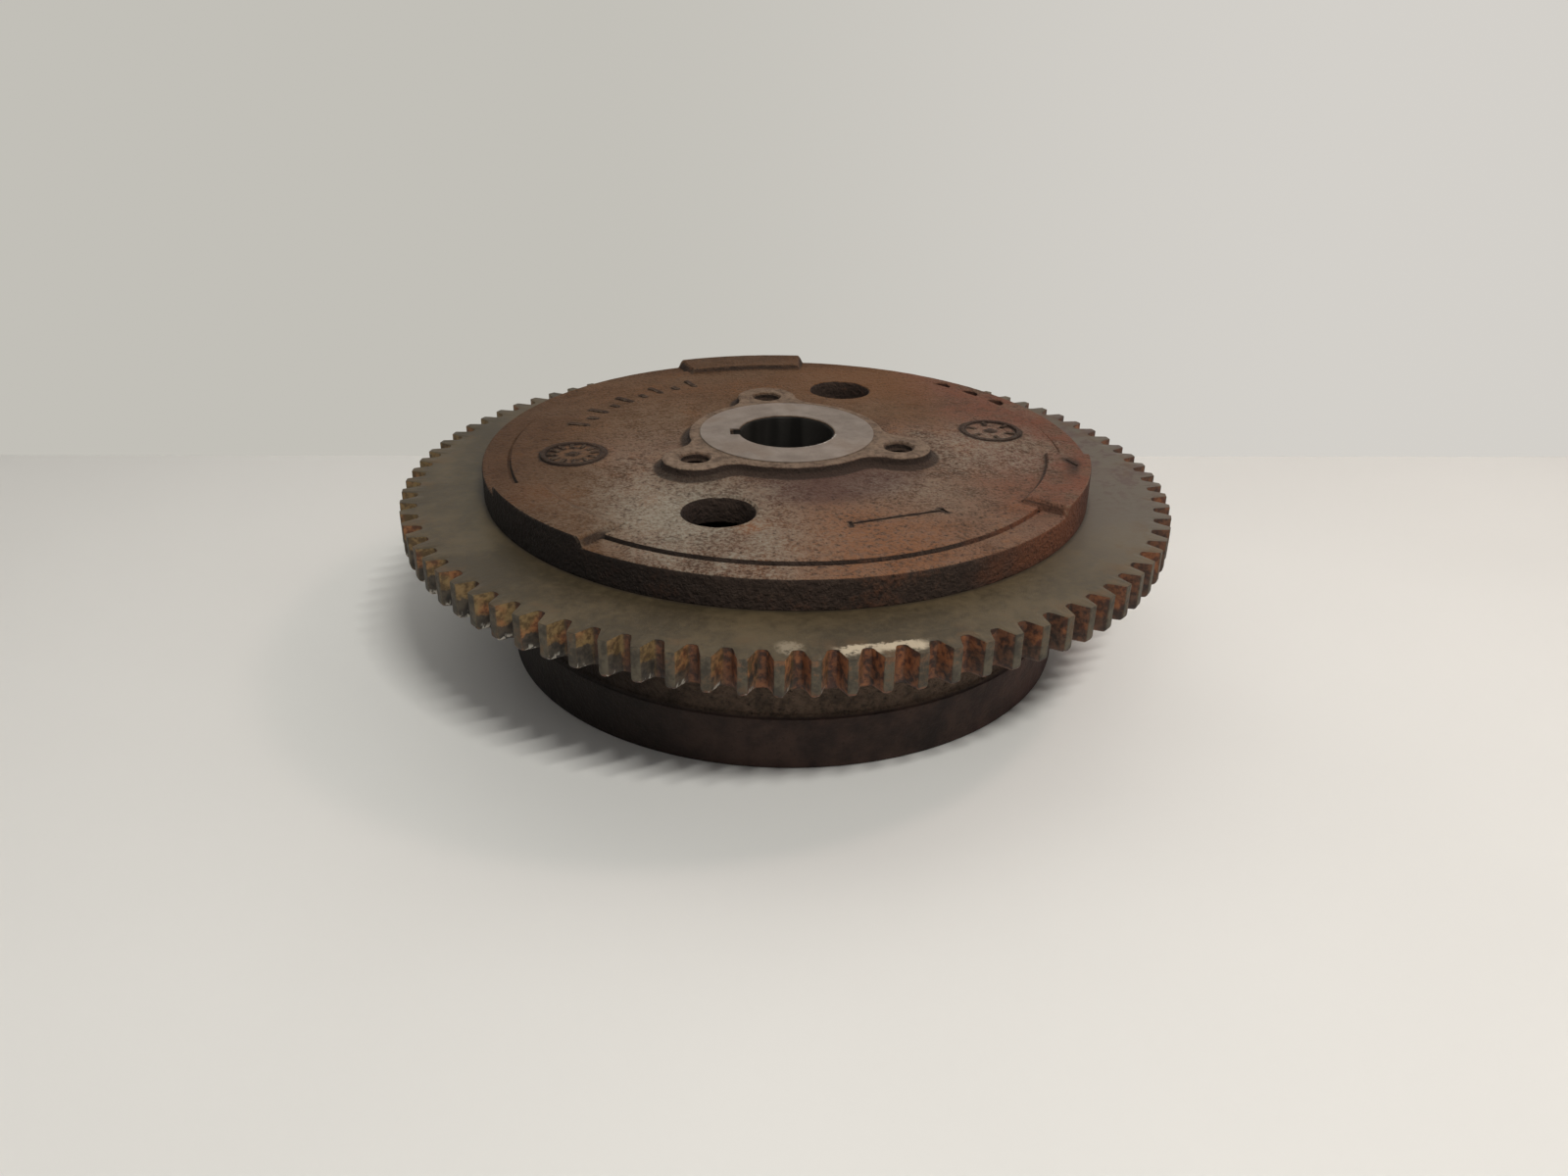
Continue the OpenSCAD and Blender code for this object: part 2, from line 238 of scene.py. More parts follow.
def spaced(points, longest):
    """The same closed section with long straight runs divided."""
    result = []
    for i, (x, y) in enumerate(points):
        nx, ny = points[(i + 1) % len(points)]
        parts = max(1, math.ceil(math.hypot(nx - x, ny - y) / longest))
        result += [(x + (nx - x) * k / parts, y + (ny - y) * k / parts) for k in range(parts)]
    return result


def turned(name, section, steps):
    """Lathes a closed section of (r, z) points about Z."""
    clear_selection()
    bpy.ops.mesh.primitive_plane_add(size=MM, location=(0, 0, 0))
    ob = bpy.context.object
    ob.name = name
    bpy.ops.object.mode_set(mode="EDIT")
    bpy.ops.mesh.select_all(action="SELECT")
    bpy.ops.mesh.merge(type="CENTER")
    way = [Vector((r, 0, z)) * MM for r, z in section]
    bpy.ops.transform.translate(value=way[0])
    for a, b in zip(way, way[1:] + way[:1]):
        bpy.ops.mesh.extrude_vertices_move(TRANSFORM_OT_translate={"value": b - a})
    bpy.ops.mesh.select_all(action="SELECT")
    bpy.ops.mesh.remove_doubles(threshold=MERGE_WITHIN / 2 * MM)
    bpy.ops.mesh.spin(steps=steps, angle=math.radians(360), center=(0, 0, 0), axis=(0, 0, 1))
    bpy.ops.object.mode_set(mode="OBJECT")
    tidy_mesh(ob)
    return ob


def lofted(name, rings, closed=False):
    """Pulls a ring of points up through a stack of rings of (x, y, z) in millimetres."""
    count = len(rings[0])
    clear_selection()
    bpy.ops.mesh.primitive_circle_add(vertices=count, radius=MM, fill_type="NOTHING")
    ob = bpy.context.object
    ob.name = name
    mesh = ob.data
    for i, point in enumerate(rings[0]):
        mesh.vertices[i].co = Vector(point) * MM
    if not closed:
        bpy.ops.object.mode_set(mode="EDIT")
        bpy.ops.mesh.select_all(action="SELECT")
        bpy.ops.mesh.edge_face_add()
        bpy.ops.mesh.select_mode(type="EDGE")
        bpy.ops.object.mode_set(mode="OBJECT")
    bpy.ops.object.mode_set(mode="EDIT")
    bpy.ops.mesh.select_mode(type="VERT")
    bpy.ops.mesh.select_all(action="SELECT")
    for ring in rings[1:] + ([rings[0]] if closed else []):
        bpy.ops.mesh.extrude_edges_move()
        bpy.ops.object.mode_set(mode="OBJECT")
        first_new = len(mesh.vertices) - count
        for i, point in enumerate(ring):
            mesh.vertices[first_new + i].co = Vector(point) * MM
        bpy.ops.object.mode_set(mode="EDIT")
    if not closed:
        bpy.ops.mesh.edge_face_add()
    bpy.ops.object.mode_set(mode="OBJECT")
    tidy_mesh(ob)
    return ob


print("helpers ready")

# %% [markdown]
# ## The iron casting
#
# The disc, drum and boss are round, so their section is drawn once, with a radius on every corner as
# sand casting and turning leave it, and spun. The face is divided finely so that its skin can be
# roughened later. The hub's ears and the rim pads aren't round: they are lofted and joined on.

# %% Turn the disc, drum and boss
SPIN_STEPS = 340
FACE_PITCH = 1.75

casting_section = [
    (BORE_BOTTOM_R, BOSS_BOTTOM, 0.5),
    (BOSS_R, BOSS_BOTTOM, 0.8),
    (BOSS_R, CEILING, 5.0),
    (CUP_R, CEILING, 4.0),
    (CUP_R, 0.0, 0.7),
    (DRUM_R, 0.0, 0.7),
    (DRUM_R, DRUM_BAND, 0.3),
    (DRUM_CAST_R, DRUM_BAND + 1.0, 1.0),
    (DRUM_CAST_R, GEAR_BOTTOM, 0.8),
    (GEAR_SEAT_R, GEAR_BOTTOM, 0.3),
    (GEAR_SEAT_R, GEAR_TOP, 0.0),
    (DISC_R, GEAR_TOP, 0.25),
    (DISC_R, RIM_TOP, 0.7),
    (STEP_R + 0.9, RIM_TOP, 0.3),
    (STEP_R + 0.5, RIM_TOP - 0.55, 0.15),
    (STEP_R + 0.1, RIM_TOP - 0.55, 0.15),
    (STEP_R - 0.2, FACE_EDGE_Z, 0.4),
    (27.0, face_z(27.0), 0.0),
    (27.0, HUB_TOP - 0.4, 0.0),
    (SEAT_R, HUB_TOP - 0.4, 0.0),
    (SEAT_R, SEAT_TOP, 0.12),
    (BORE_R + 0.7, SEAT_TOP, 0.15),
    (BORE_R, SEAT_TOP - 0.7, 0.3),
    (BORE_R, SEAT_TOP - 8.7, 0.5),
]
casting = turned("casting", spaced(rounded(casting_section, 4), FACE_PITCH), SPIN_STEPS)
print("casting:", len(casting.data.vertices), "points")

# %% Outline of the hub with its three ears, offset outwards by a distance
def arc(centre, radius, first, last, count):
    """Points from the angle first up to, but not including, last."""
    for k in range(count):
        x, y = polar(radius, first + (last - first) * k / count)
        yield centre[0] + x, centre[1] + y


def heading(a, b):
    return math.degrees(math.atan2(b[1] - a[1], b[0] - a[0]))


def hub_outline(offset):
    far, near = HUB_R + EAR_BLEND_R, EAR_R + EAR_BLEND_R
    cosine = (far ** 2 + PULLER_CIRCLE_R ** 2 - near ** 2) / (2 * far * PULLER_CIRCLE_R)
    web = math.degrees(math.acos(cosine))
    hollow = EAR_BLEND_R - offset
    points = []
    for ear in EAR_ANGLES:
        middle = polar(PULLER_CIRCLE_R, ear)
        first, second = polar(far, ear - web), polar(far, ear + web)
        inward = ear - web + 180
        to_ear = inward - (inward - heading(first, middle)) % 360
        points += arc(first, hollow, inward, to_ear, 8)
        start = to_ear + 180
        end = start + (heading(middle, second) - start) % 360
        points += arc(middle, EAR_R + offset, start, end, 26)
        away = end + 180
        outward = away - (away - (ear + web + 180)) % 360
        points += arc(second, hollow, away, outward, 8)
        points += arc((0, 0), HUB_R + offset, ear + web, ear + 120 - web, 28)
    return points


# %% Loft the hub block with a flared foot and a rounded top
def hub_ring(offset, rise=None, height=None):
    """A ring at a fixed height, or at a rise above the conical face."""
    return [(x, y, face_z(math.hypot(x, y)) + rise if height is None else height)
            for x, y in hub_outline(offset)]


def inner_ring(r, height):
    return [(*polar(r, heading((0, 0), p)), height) for p in hub_outline(0)]


HUB_CORE_R = 20
# How far each ring lies outside the hub's outline, and how high it lies above the face, or how deep
# below the hub's top.
HUB_FOOT = ((2.9, -0.35), (1.9, -0.05), (1.1, 0.25), (0.5, 0.75), (0.15, 1.3))
HUB_SHOULDER = ((0.0, 0.75), (-0.12, 0.35), (-0.4, 0.1), (-0.85, 0), (-1.9, 0))

hub_block = lofted("hub_block", [
    inner_ring(HUB_CORE_R, CEILING + 2),
    hub_ring(1.5, height=CEILING + 2),
    *(hub_ring(offset, rise=rise) for offset, rise in HUB_FOOT),
    *(hub_ring(offset, height=HUB_TOP - drop) for offset, drop in HUB_SHOULDER),
    inner_ring(HUB_CORE_R, HUB_TOP),
], closed=True)
print("hub block:", len(hub_block.data.vertices), "points")

# %% Loft one rim pad: ends sloped, inner wall steep, outer wall flush with the disc
def ground(r):
    return face_z(r) if r < STEP_R else RIM_TOP


PAD_OUTER_R = DISC_R - 0.03
PAD_MIDDLE_R = 81
PAD_SLOPES = [(90, 1.0), (210, 4.5), (330, 1.6)]


def pad_ring(middle, end_out, inner_out, rise=None, height=None, outer_in=0.0):
    """A ring round a pad, let out at its ends and inner side and taken in at its outer side."""
    inner, outer = PAD_INNER_R - inner_out, PAD_OUTER_R - outer_in
    half = PAD_HALF + math.degrees(end_out / PAD_MIDDLE_R)
    ring = [polar(inner, middle - half + 2 * half * k / 24) for k in range(24)]
    ring += [polar(inner + (outer - inner) * k / 8, middle + half) for k in range(8)]
    ring += [polar(outer, middle + half - 2 * half * k / 24) for k in range(24)]
    ring += [polar(outer - (outer - inner) * k / 8, middle - half) for k in range(8)]
    return [(x, y, ground(math.hypot(x, y)) + rise if height is None else height) for x, y in ring]


def pad_block(middle, inner_slope):
    return lofted("pad_block", [
        pad_ring(middle, 0, 0, height=GEAR_TOP + 3),
        pad_ring(middle, 1.9, 1.4 * inner_slope, rise=-0.3),
        pad_ring(middle, 1.5, 0.8 * inner_slope, rise=0.15),
        pad_ring(middle, 0.9, 0.3 * inner_slope, height=PAD_TOP - 1.0),
        pad_ring(middle, 0.3, 0.05 * inner_slope, height=PAD_TOP - 0.3, outer_in=0.02),
        pad_ring(middle, 0.05, -0.15, height=PAD_TOP - 0.07, outer_in=0.15),
        pad_ring(middle, -0.4, -0.5, height=PAD_TOP, outer_in=0.5),
    ])


carve(casting, [hub_block] + [pad_block(angle, slope) for angle, slope in PAD_SLOPES], "UNION")
print("with hub and pads:", len(casting.data.vertices), "points")

# %% [markdown]
# ## Foundry marks
#
# A casting carries raised marks from its pattern. These ones are plain: a date clock without figures,
# a ring with dots, and a row of tally bars.

# %% Raised marks on the face
MARK_RISE = 0.5
MARK_DEPTH = 0.8
RING_WIDTH = 1.5


def placed(ob, r, angle, height, spin=0):
    """Moves a piece made at the origin out to a radius and angle, turned with it."""
    x, y = polar(r, angle)
    ob.location = (x * MM, y * MM, height * MM)
    ob.rotation_euler = (0, 0, math.radians(angle + spin))
    settle(ob)
    return ob


def bar(width, length):
    """A raised bar with a rounded back, long way along Y."""
    def outline(inset):
        a, b = width / 2 - inset, length / 2 - inset
        return [(-a, -b), (0, -b - a * 0.4), (a, -b), (a, b), (0, b + a * 0.4), (-a, b)]
    levels = ((0, -MARK_DEPTH), (0, MARK_RISE * 0.6), (width * 0.14, MARK_RISE * 0.9),
              (width * 0.3, MARK_RISE))
    return lofted("bar", [[(x, y, z) for x, y in outline(inset)] for inset, z in levels])


def dot(r):
    section = [(0, -MARK_DEPTH, 0), (r, -MARK_DEPTH, 0), (r, MARK_RISE, r * 0.45), (0, MARK_RISE, 0)]
    return turned("dot", rounded(section), 20)


def ring_mark(r):
    inner = r - RING_WIDTH
    section = [(inner, -MARK_DEPTH, 0), (r, -MARK_DEPTH, 0), (r, MARK_RISE, 0.45), (inner, MARK_RISE, 0.45)]
    return turned("ring_mark", rounded(section), 64)


def roundel(r, distance, angle, ticks):
    """A ring with short ticks inside it and a dot in the middle."""
    z = face_z(distance)
    cx, cy = polar(distance, angle)
    marks = [placed(ring_mark(r), distance, angle, z), placed(dot(1.5), distance, angle, z)]
    for k in range(ticks):
        tick = bar(0.9, r * 0.26)
        tick.location = (0, (r - 3.2) * MM, 0)
        settle(tick)
        tick.rotation_euler = (0, 0, math.radians(360 * k / ticks))
        settle(tick)
        tick.location = (cx * MM, cy * MM, z * MM)
        settle(tick)
        marks.append(tick)
    return marks


marks = roundel(9.3, 61.6, 180, 12) + roundel(9.2, 63, 1.5, 6)
for k in range(9):
    length, distance = (2.4, 62.2) if k % 2 else (6.0, 64)
    marks.append(placed(bar(1.6, length), distance, 157 - 6 * k, face_z(64), spin=90))
mark_points = [v.co.copy() for mark in marks for v in mark.data.vertices]
carve(casting, marks, "UNION")
print("with foundry marks:", len(casting.data.vertices), "points")

# %% [markdown]
# ## Holes
#
# The two large windows were cast or bored through, so their mouths are rounded. The three puller holes
# are tapped: each cutter carries the ridges of an M8 thread. The balance drillings are blind, with the
# cone that a twist drill leaves.

# %% Cutters for the holes
def cutter(section, steps=40):
    return turned("cutter", section, steps)


def wedge(name, levels):
    """A four-sided tool: half its length along X, half its width along Y and the height of each level."""
    return lofted(name, [[(-a, -b, z), (a, -b, z), (a, b, z), (-a, b, z)] for a, b, z in levels])


def window_cutter():
    mouth = face_z(54)
    section = [(0, CEILING - 2), (10.2, CEILING - 2), (9.5, CEILING + 0.6), (9.5, mouth - 0.9),
               (9.75, mouth - 0.35), (10.3, mouth), (11.5, mouth + 1.5), (0, mouth + 1.5)]
    return cutter(section, 64)


def tapped_cutter(bottom, top):
    """Ridged like a thread, with a countersunk mouth."""
    section = [(0, bottom), (THREAD_ROOT_R, bottom)]
    turns = int((top - bottom - 0.8) / THREAD_PITCH)
    for k in range(turns):
        z = bottom + k * THREAD_PITCH
        section += [(THREAD_CREST_R, z + THREAD_PITCH * 0.25), (THREAD_CREST_R, z + THREAD_PITCH * 0.45),
                    (THREAD_ROOT_R, z + THREAD_PITCH * 0.9)]
    section += [(THREAD_ROOT_R, top - 0.8), (THREAD_ROOT_R + 1.3, top + 0.5), (0, top + 0.5)]
    return cutter(section)


def drill_cutter(r, bottom, top):
    return cutter([(0, bottom - r / 1.7), (r, bottom), (r, top - 0.3), (r + 0.9, top + 0.6), (0, top + 0.6)])


WINDOW_R, WINDOW_ANGLE = 54.2, 60.3
BALANCE_R, BALANCE_ANGLE, BALANCE_PITCH = 80.8, 31.1, 8.15
THREAD_ROOT_R, THREAD_CREST_R, THREAD_PITCH = 3.9, 3.4, 1.25
hole_cutters = [placed(window_cutter(), WINDOW_R, WINDOW_ANGLE + side, 0) for side in (0, 180)]
hole_cutters += [placed(tapped_cutter(CEILING - 6, HUB_TOP), PULLER_CIRCLE_R, angle, 0)
                 for angle in EAR_ANGLES]
hole_cutters += [placed(drill_cutter(3.25, RIM_TOP - 6, RIM_TOP), BALANCE_R,
                        BALANCE_ANGLE + k * BALANCE_PITCH, 0) for k in (-1, 0, 1)]

# %% Cut the holes, the keyway and the dash
KEY_ANGLE, KEY_W, KEY_OUT = 174.7, 5.0, 16.5
key_tool = lofted("key_tool", [
    [(8, -KEY_W / 2, z), (KEY_OUT + lean, -KEY_W / 2, z), (KEY_OUT + lean, KEY_W / 2, z), (8, KEY_W / 2, z)]
    for z, lean in ((BOSS_BOTTOM - 2, 1.85), (SEAT_TOP + 1, -0.05))])
placed(key_tool, 0, KEY_ANGLE, 0)

DASH_Z, DASH_TURN = face_z(60), -6.3
dash_tool = wedge("dash_tool", ((0.3, 13.0, -0.5), (0.75, 13.4, 1.0)))
placed(dash_tool, 60, -73, DASH_Z, spin=DASH_TURN)
serifs = [placed(wedge("serif", ((1.3, 0.5, -0.4), (1.5, 0.5, 1.0))), r, angle, DASH_Z, spin=DASH_TURN)
          for r, angle in ((60.2, -85.4), (63.0, -60.9))]
notch = placed(wedge("notch", ((0.2, 2.6, -0.5), (0.8, 3.0, 0.5))), 81.5, -22, PAD_TOP, spin=35)
corners = dash_tool.data.vertices
dash_points = [corners[a].co + (corners[b].co - corners[a].co) * k / 18
               for k in range(19) for a, b in ((0, 3), (1, 2))]
dash_points += [v.co.copy() for tool in serifs + [notch] for v in tool.data.vertices]
carve(casting, hole_cutters + [key_tool, dash_tool, notch] + serifs)
print("with holes:", len(casting.data.vertices), "points")

# %% [markdown]
# ## Casting skin
#
# Sand leaves a slightly uneven surface and soft, wandering edges, while turned surfaces stay true. The
# points of the face, pads, hub and rough drum wall are gathered in a group, and a cloud texture moves
# them by about a tenth of a millimetre. The finer grain is left to the material.

# %% Roughen the cast surfaces
SKIN_HEIGHT = 0.16
SKIN_GRAIN = 2.6


def skin_weight(x, y, z):
    """1 where the sand touched, 0 where a tool did."""
    r = math.hypot(x, y)
    if r > DISC_R - 0.5 and z < RIM_TOP - 0.4:
        return 0.0
    if r < SEAT_R + 0.8:
        return 0.0
    if z < DRUM_BAND + 1.2 and r > CUP_R - 1:
        return 0.0
    if z < GEAR_BOTTOM - 0.5 and r > CUP_R + 1:
        return 1.0
    if z > RIM_TOP - 1.2:
        return 0.75
    return 0.6 if z > CEILING - 6 and r < CUP_R - 1 else 0.0


def roughen(ob, weight, height, grain, middle=0.5):
    """Moves the points that have a weight by a cloud texture; grain is the size of its lumps."""
    cloud = bpy.data.textures.new(ob.name + "_cloud", "CLOUDS")
    cloud.noise_scale, cloud.noise_depth = grain * MM, 3
    group = ob.vertex_groups.new(name="skin")
    for v in ob.data.vertices:
        w = weight(*(v.co / MM))
        if w > 0:
            group.add([v.index], w, "REPLACE")
    apply_modifier(ob, "DISPLACE", texture=cloud, vertex_group="skin", strength=height * MM,
                   mid_level=middle, texture_coords="LOCAL")
    ob.vertex_groups.clear()


roughen(casting, skin_weight, SKIN_HEIGHT, SKIN_GRAIN)
smooth(casting)
print("casting triangles:", sum(len(p.vertices) - 2 for p in casting.data.polygons))

# %% [markdown]
# ## The starter ring gear
#
# The gear is a steel ring with 85 stub teeth. One list of outlines carries the whole ring: at each
# height the teeth are a little narrower or fuller, which gives a crisp edge on top and the worn,
# bevelled lead-in below, where the starter's pinion slides in. Each tooth wears differently, so a
# seeded random number scales its bevel.

# %% Outline of the toothed ring at one height
TEETH = 85
TOOTH_ANGLE = 88.94
ROOT_R = 105.25
TIP_HALF = 1.2
ROOT_HALF = 2.69
wear = random.Random(7)
TOOTH_WEAR = [(0.75 + 0.55 * wear.random(), 0.75 + 0.55 * wear.random()) for _ in range(TEETH)]
TOP_WEAR = [(0.5 + wear.random(), 0.5 + wear.random()) for _ in range(TEETH)]

# Half of a tooth from the middle of its tip to the middle of the gap: radius, half width, and how much
# of a bevel lowers the radius and narrows the tooth there.
HALF_TOOTH = [
    (GEAR_TIP_R, 0.0, 1.0, 0.0),
    (GEAR_TIP_R, TIP_HALF * 0.5, 1.0, 0.28),
    (GEAR_TIP_R, TIP_HALF - 0.18, 1.0, 0.5),
    (GEAR_TIP_R - 0.06, TIP_HALF - 0.04, 0.95, 0.55),
    (GEAR_TIP_R - 0.22, TIP_HALF + 0.05, 0.85, 0.56),
    (GEAR_TIP_R - 1.7, TIP_HALF + 0.6, 0.25, 0.7),
    (ROOT_R + 1.4, ROOT_HALF - 0.33, 0.0, 0.6),
    (ROOT_R + 0.45, ROOT_HALF, 0.0, 0.4),
    (ROOT_R + 0.12, ROOT_HALF + 0.3, 0.0, 0.2),
]
PITCH = 360 / TEETH


def gear_outline(height, back, scale=None):
    """Toothed ring; back is the bevel in millimetres, and scale one factor for each side of each tooth."""
    ring = []
    for tooth in range(TEETH):
        middle = TOOTH_ANGLE + tooth * PITCH
        low, high = scale[tooth] if scale else (1, 1)
        ring.append((*polar(ROOT_R, middle - PITCH / 2), height))
        sides = [(-1, low, p) for p in HALF_TOOTH[::-1]] + [(1, high, p) for p in HALF_TOOTH[1:]]
        for side, factor, (r, half, lower, narrow) in sides:
            cut = back * factor
            radius = r - cut * lower
            width = max(half - cut * narrow, 0)
            ring.append((*polar(radius, middle + side * math.degrees(width / radius)), height))
    return ring


def plain_ring(r, height):
    """A circle whose points lie at the same angles as the teeth's."""
    return [(*polar(r, heading((0, 0), p)), height) for p in gear_outline(0, 0)]


# %% Loft the gear
WEB_R = 103.2
gear = lofted("starter_ring_gear", [
    *(plain_ring(r, GEAR_TOP) for r in (GEAR_SEAT_R, 88, 94, 99, WEB_R)),
    gear_outline(GEAR_TOP, 0.22, TOP_WEAR),
    gear_outline(GEAR_TOP - 0.08, 0.08, TOP_WEAR),
    *(gear_outline(z, 0) for z in (GEAR_TOP - 0.3, GEAR_TOP - 3, GEAR_TOP - 6, GEAR_BOTTOM + 1.6)),
    *(gear_outline(GEAR_BOTTOM + rise, back, TOOTH_WEAR)
      for rise, back in ((1.1, 0.12), (0.65, 0.38), (0.3, 0.7), (0.08, 0.98), (0, 1.2))),
    plain_ring(WEB_R, GEAR_BOTTOM),
    plain_ring(96, GEAR_BOTTOM),
    plain_ring(GEAR_SEAT_R + 1, GEAR_BOTTOM),
    plain_ring(GEAR_SEAT_R + 0.3, GEAR_BOTTOM + 0.15),
    plain_ring(GEAR_SEAT_R, GEAR_BOTTOM + 0.6),
], closed=True)


def tooth_weight(x, y, z):
    return 1.0 if math.hypot(x, y) > ROOT_R - 0.5 else 0.0


roughen(gear, tooth_weight, 0.16, 1.6, middle=1.0)
smooth(gear, 38)
print("gear triangles:", sum(len(p.vertices) - 2 for p in gear.data.polygons))

# %% [markdown]
# ## Inside the cup
#
# Six pole shoes and six magnets line the drum. A pole shoe is a stack of thin stampings held by two
# rivets and screwed to the drum. One of each kind is modelled at angle zero and copied round, each
# copy with its own mesh.

# %% Copies round the axis
POLES = 6


def copied(ob, name, angle):
    """A copy of a piece turned about the axis, with the turn in its own mesh."""
    pick(ob)
    bpy.ops.object.duplicate(linked=False)
    twin = bpy.context.object
    twin.name = name
    twin.rotation_euler = (0, 0, math.radians(angle))
    settle(twin)
    return twin


def copied_round(ob, stem, first_angle):
    """The six numbered copies; the model itself is removed."""
    twins = [copied(ob, f"{stem}_{i + 1}_shown", first_angle + i * 360 / POLES) for i in range(POLES)]
    bpy.data.objects.remove(ob)
    return twins


# %% Plan of the magnets' dovetail sides
MAGNET_HALF, MAGNET_SPREAD = 12.6, 3.0 / 11.0
POLE_R = 62.0
SPACER_R = 71.0
MAGNET_R = 63.5
POLE_LOW, POLE_HIGH = SHOE_LOW[2], SHOE_HIGH[2]


def dovetail(r):
    """Where a magnet's side meets a circle, in the magnet's own frame."""
    x = r
    for _ in range(20):
        x = math.sqrt(r * r - (MAGNET_HALF + (x - POLE_R) * MAGNET_SPREAD) ** 2)
    return x, MAGNET_HALF + (x - POLE_R) * MAGNET_SPREAD


def sector(r_in, r_out, gap=0.0, count=14):
    """Plan between two circles and a magnet's two sides."""
    inner, outer = (heading((0, 0), dovetail(r)) - math.degrees(gap / r) for r in (r_in, r_out))
    ring = [polar(r_in, -inner + 2 * inner * k / count) for k in range(count + 1)]
    return ring + [polar(r_out, outer - 2 * outer * k / count) for k in range(count + 1)]


def stacked(name, levels):
    """Lofts plans (ring, height) into a solid."""
    return lofted(name, [[(x, y, z) for x, y in ring] for ring, z in levels])


# %% Magnets and spacers
magnet_plan, spacer_plan = sector(MAGNET_R, SPACER_R, 0.05), sector(SPACER_R, CUP_R, 0.1)
magnet = stacked("magnet", [(magnet_plan, POLE_LOW), (magnet_plan, POLE_HIGH)])
bevel(magnet, 0.7, 3)
magnets = copied_round(magnet, "magnet", 30)
spacer = stacked("spacer", [(spacer_plan, POLE_LOW), (spacer_plan, POLE_HIGH)])
bevel(spacer, 0.15, 1)
spacers = copied_round(spacer, "magnet_spacer", 30)

# %% Pole shoes: thin stampings with a fine gap between them
LAMINATION = 1.0
SEAM = 0.14
SEAM_DEPTH = 0.14


def shoe_plan(face_r):
    """Plan between two magnets: pole face, flat side, dovetail side, back."""
    reach = math.degrees(math.asin(MAGNET_HALF / face_r))
    face_half, back_half = 30 - reach, 30 - heading((0, 0), dovetail(CUP_R))
    ring = [polar(face_r, -face_half + 2 * face_half * k / 20) for k in range(21)]
    corner = polar(math.hypot(POLE_R, MAGNET_HALF), 30 - heading((0, 0), (POLE_R, MAGNET_HALF)))
    ring.append(corner)
    ring += [polar(CUP_R, back_half - 2 * back_half * k / 16) for k in range(17)]
    ring.append((corner[0], -corner[1]))
    return ring


def shoe_levels():
    full, seam = shoe_plan(POLE_R), shoe_plan(POLE_R + SEAM_DEPTH)
    yield full, POLE_LOW
    z = POLE_LOW + LAMINATION
    while z < POLE_HIGH - LAMINATION / 2:
        yield full, z - SEAM
        yield seam, z - SEAM / 2
        yield full, z
        z += LAMINATION
    yield full, POLE_HIGH


shoe = stacked("shoe", shoe_levels())
SCREW_Z = (POLE_LOW + 7, POLE_HIGH - 7)
SCREW_R, HEAD_R, SINK, HEAD_H = 2.5, 4.6, 0.3, 2.5
HEAD_FACE = POLE_R + SINK
RIVET_CIRCLE_R, RIVET_R, RIVET_ANGLE = 68.0, 1.5, 13.5


def outward(ob, z):
    """Turns a piece made along +Z so that it runs out along +X, at a height."""
    ob.rotation_euler = (0, math.radians(90), 0)
    ob.location = (0, 0, z * MM)
    settle(ob)
    return ob


def countersink_cutter():
    head, shank = HEAD_R + 0.1, SCREW_R + 0.05
    return cutter([(0, POLE_R - 4), (head, POLE_R - 4), (head, HEAD_FACE), (shank, HEAD_FACE + HEAD_H),
                   (shank, CUP_R + 2), (0, CUP_R + 2)])


def rivet_hole(side):
    low, high = POLE_LOW - 1, POLE_HIGH + 1
    return placed(cutter([(0, low), (RIVET_R, low), (RIVET_R, high), (0, high)], 24),
                  RIVET_CIRCLE_R, side * RIVET_ANGLE, 0)


carve(shoe, [outward(countersink_cutter(), z) for z in SCREW_Z] + [rivet_hole(side) for side in (-1, 1)])
shoes = copied_round(shoe, "pole_shoe", 0)
print("pole shoe triangles:", sum(len(p.vertices) - 2 for p in shoes[0].data.polygons))

# %% Pole screws with slotted countersunk heads
SCREW_END = HEAD_FACE + 14
screw_section = [(0, HEAD_FACE, 0), (HEAD_R - 0.15, HEAD_FACE, 0.1), (HEAD_R, HEAD_FACE + 0.2, 0.1),
                 (SCREW_R, HEAD_FACE + HEAD_H, 0.2), (SCREW_R, SCREW_END - 0.6, 0),
                 (SCREW_R - 0.6, SCREW_END, 0), (0, SCREW_END, 0)]


def pole_screw(z, turn):
    screw = turned("screw", rounded(screw_section, 3), 40)
    carve(screw, [wedge("slot", [(0.6, 6, height) for height in (POLE_R - 1, HEAD_FACE + 1.1)])])
    screw.rotation_euler = (0, 0, math.radians(turn))
    settle(screw)
    return outward(screw, z)


def joined(first, second):
    pick(first)
    second.select_set(True)
    bpy.ops.object.join()
    return first


screw_pair = joined(pole_screw(SCREW_Z[0], 35), pole_screw(SCREW_Z[1], -70))
screws = copied_round(screw_pair, "pole_screws", 0)

# %% Rivets with domed heads
RIVET_HEAD_R, RIVET_HEAD_H = 2.5, 0.8
# Radius, height above the stack and rounding of half a rivet, from its dome to its shank.
rivet_head = [(0, RIVET_HEAD_H, 0), (1.5, RIVET_HEAD_H * 0.85, 0.6), (RIVET_HEAD_R, 0.15, 0.1),
              (RIVET_HEAD_R - 0.1, 0, 0), (RIVET_R, 0, 0)]
rivet_section = [(r, POLE_LOW - rise, fillet) for r, rise, fillet in rivet_head]
rivet_section += [(r, POLE_HIGH + rise, fillet) for r, rise, fillet in rivet_head[::-1]]


def rivet(side):
    return placed(turned("rivet", rounded(rivet_section, 3), 28), RIVET_CIRCLE_R, side * RIVET_ANGLE, 0)


rivet_pair = joined(rivet(-1), rivet(1))
rivets = copied_round(rivet_pair, "pole_rivets", 0)

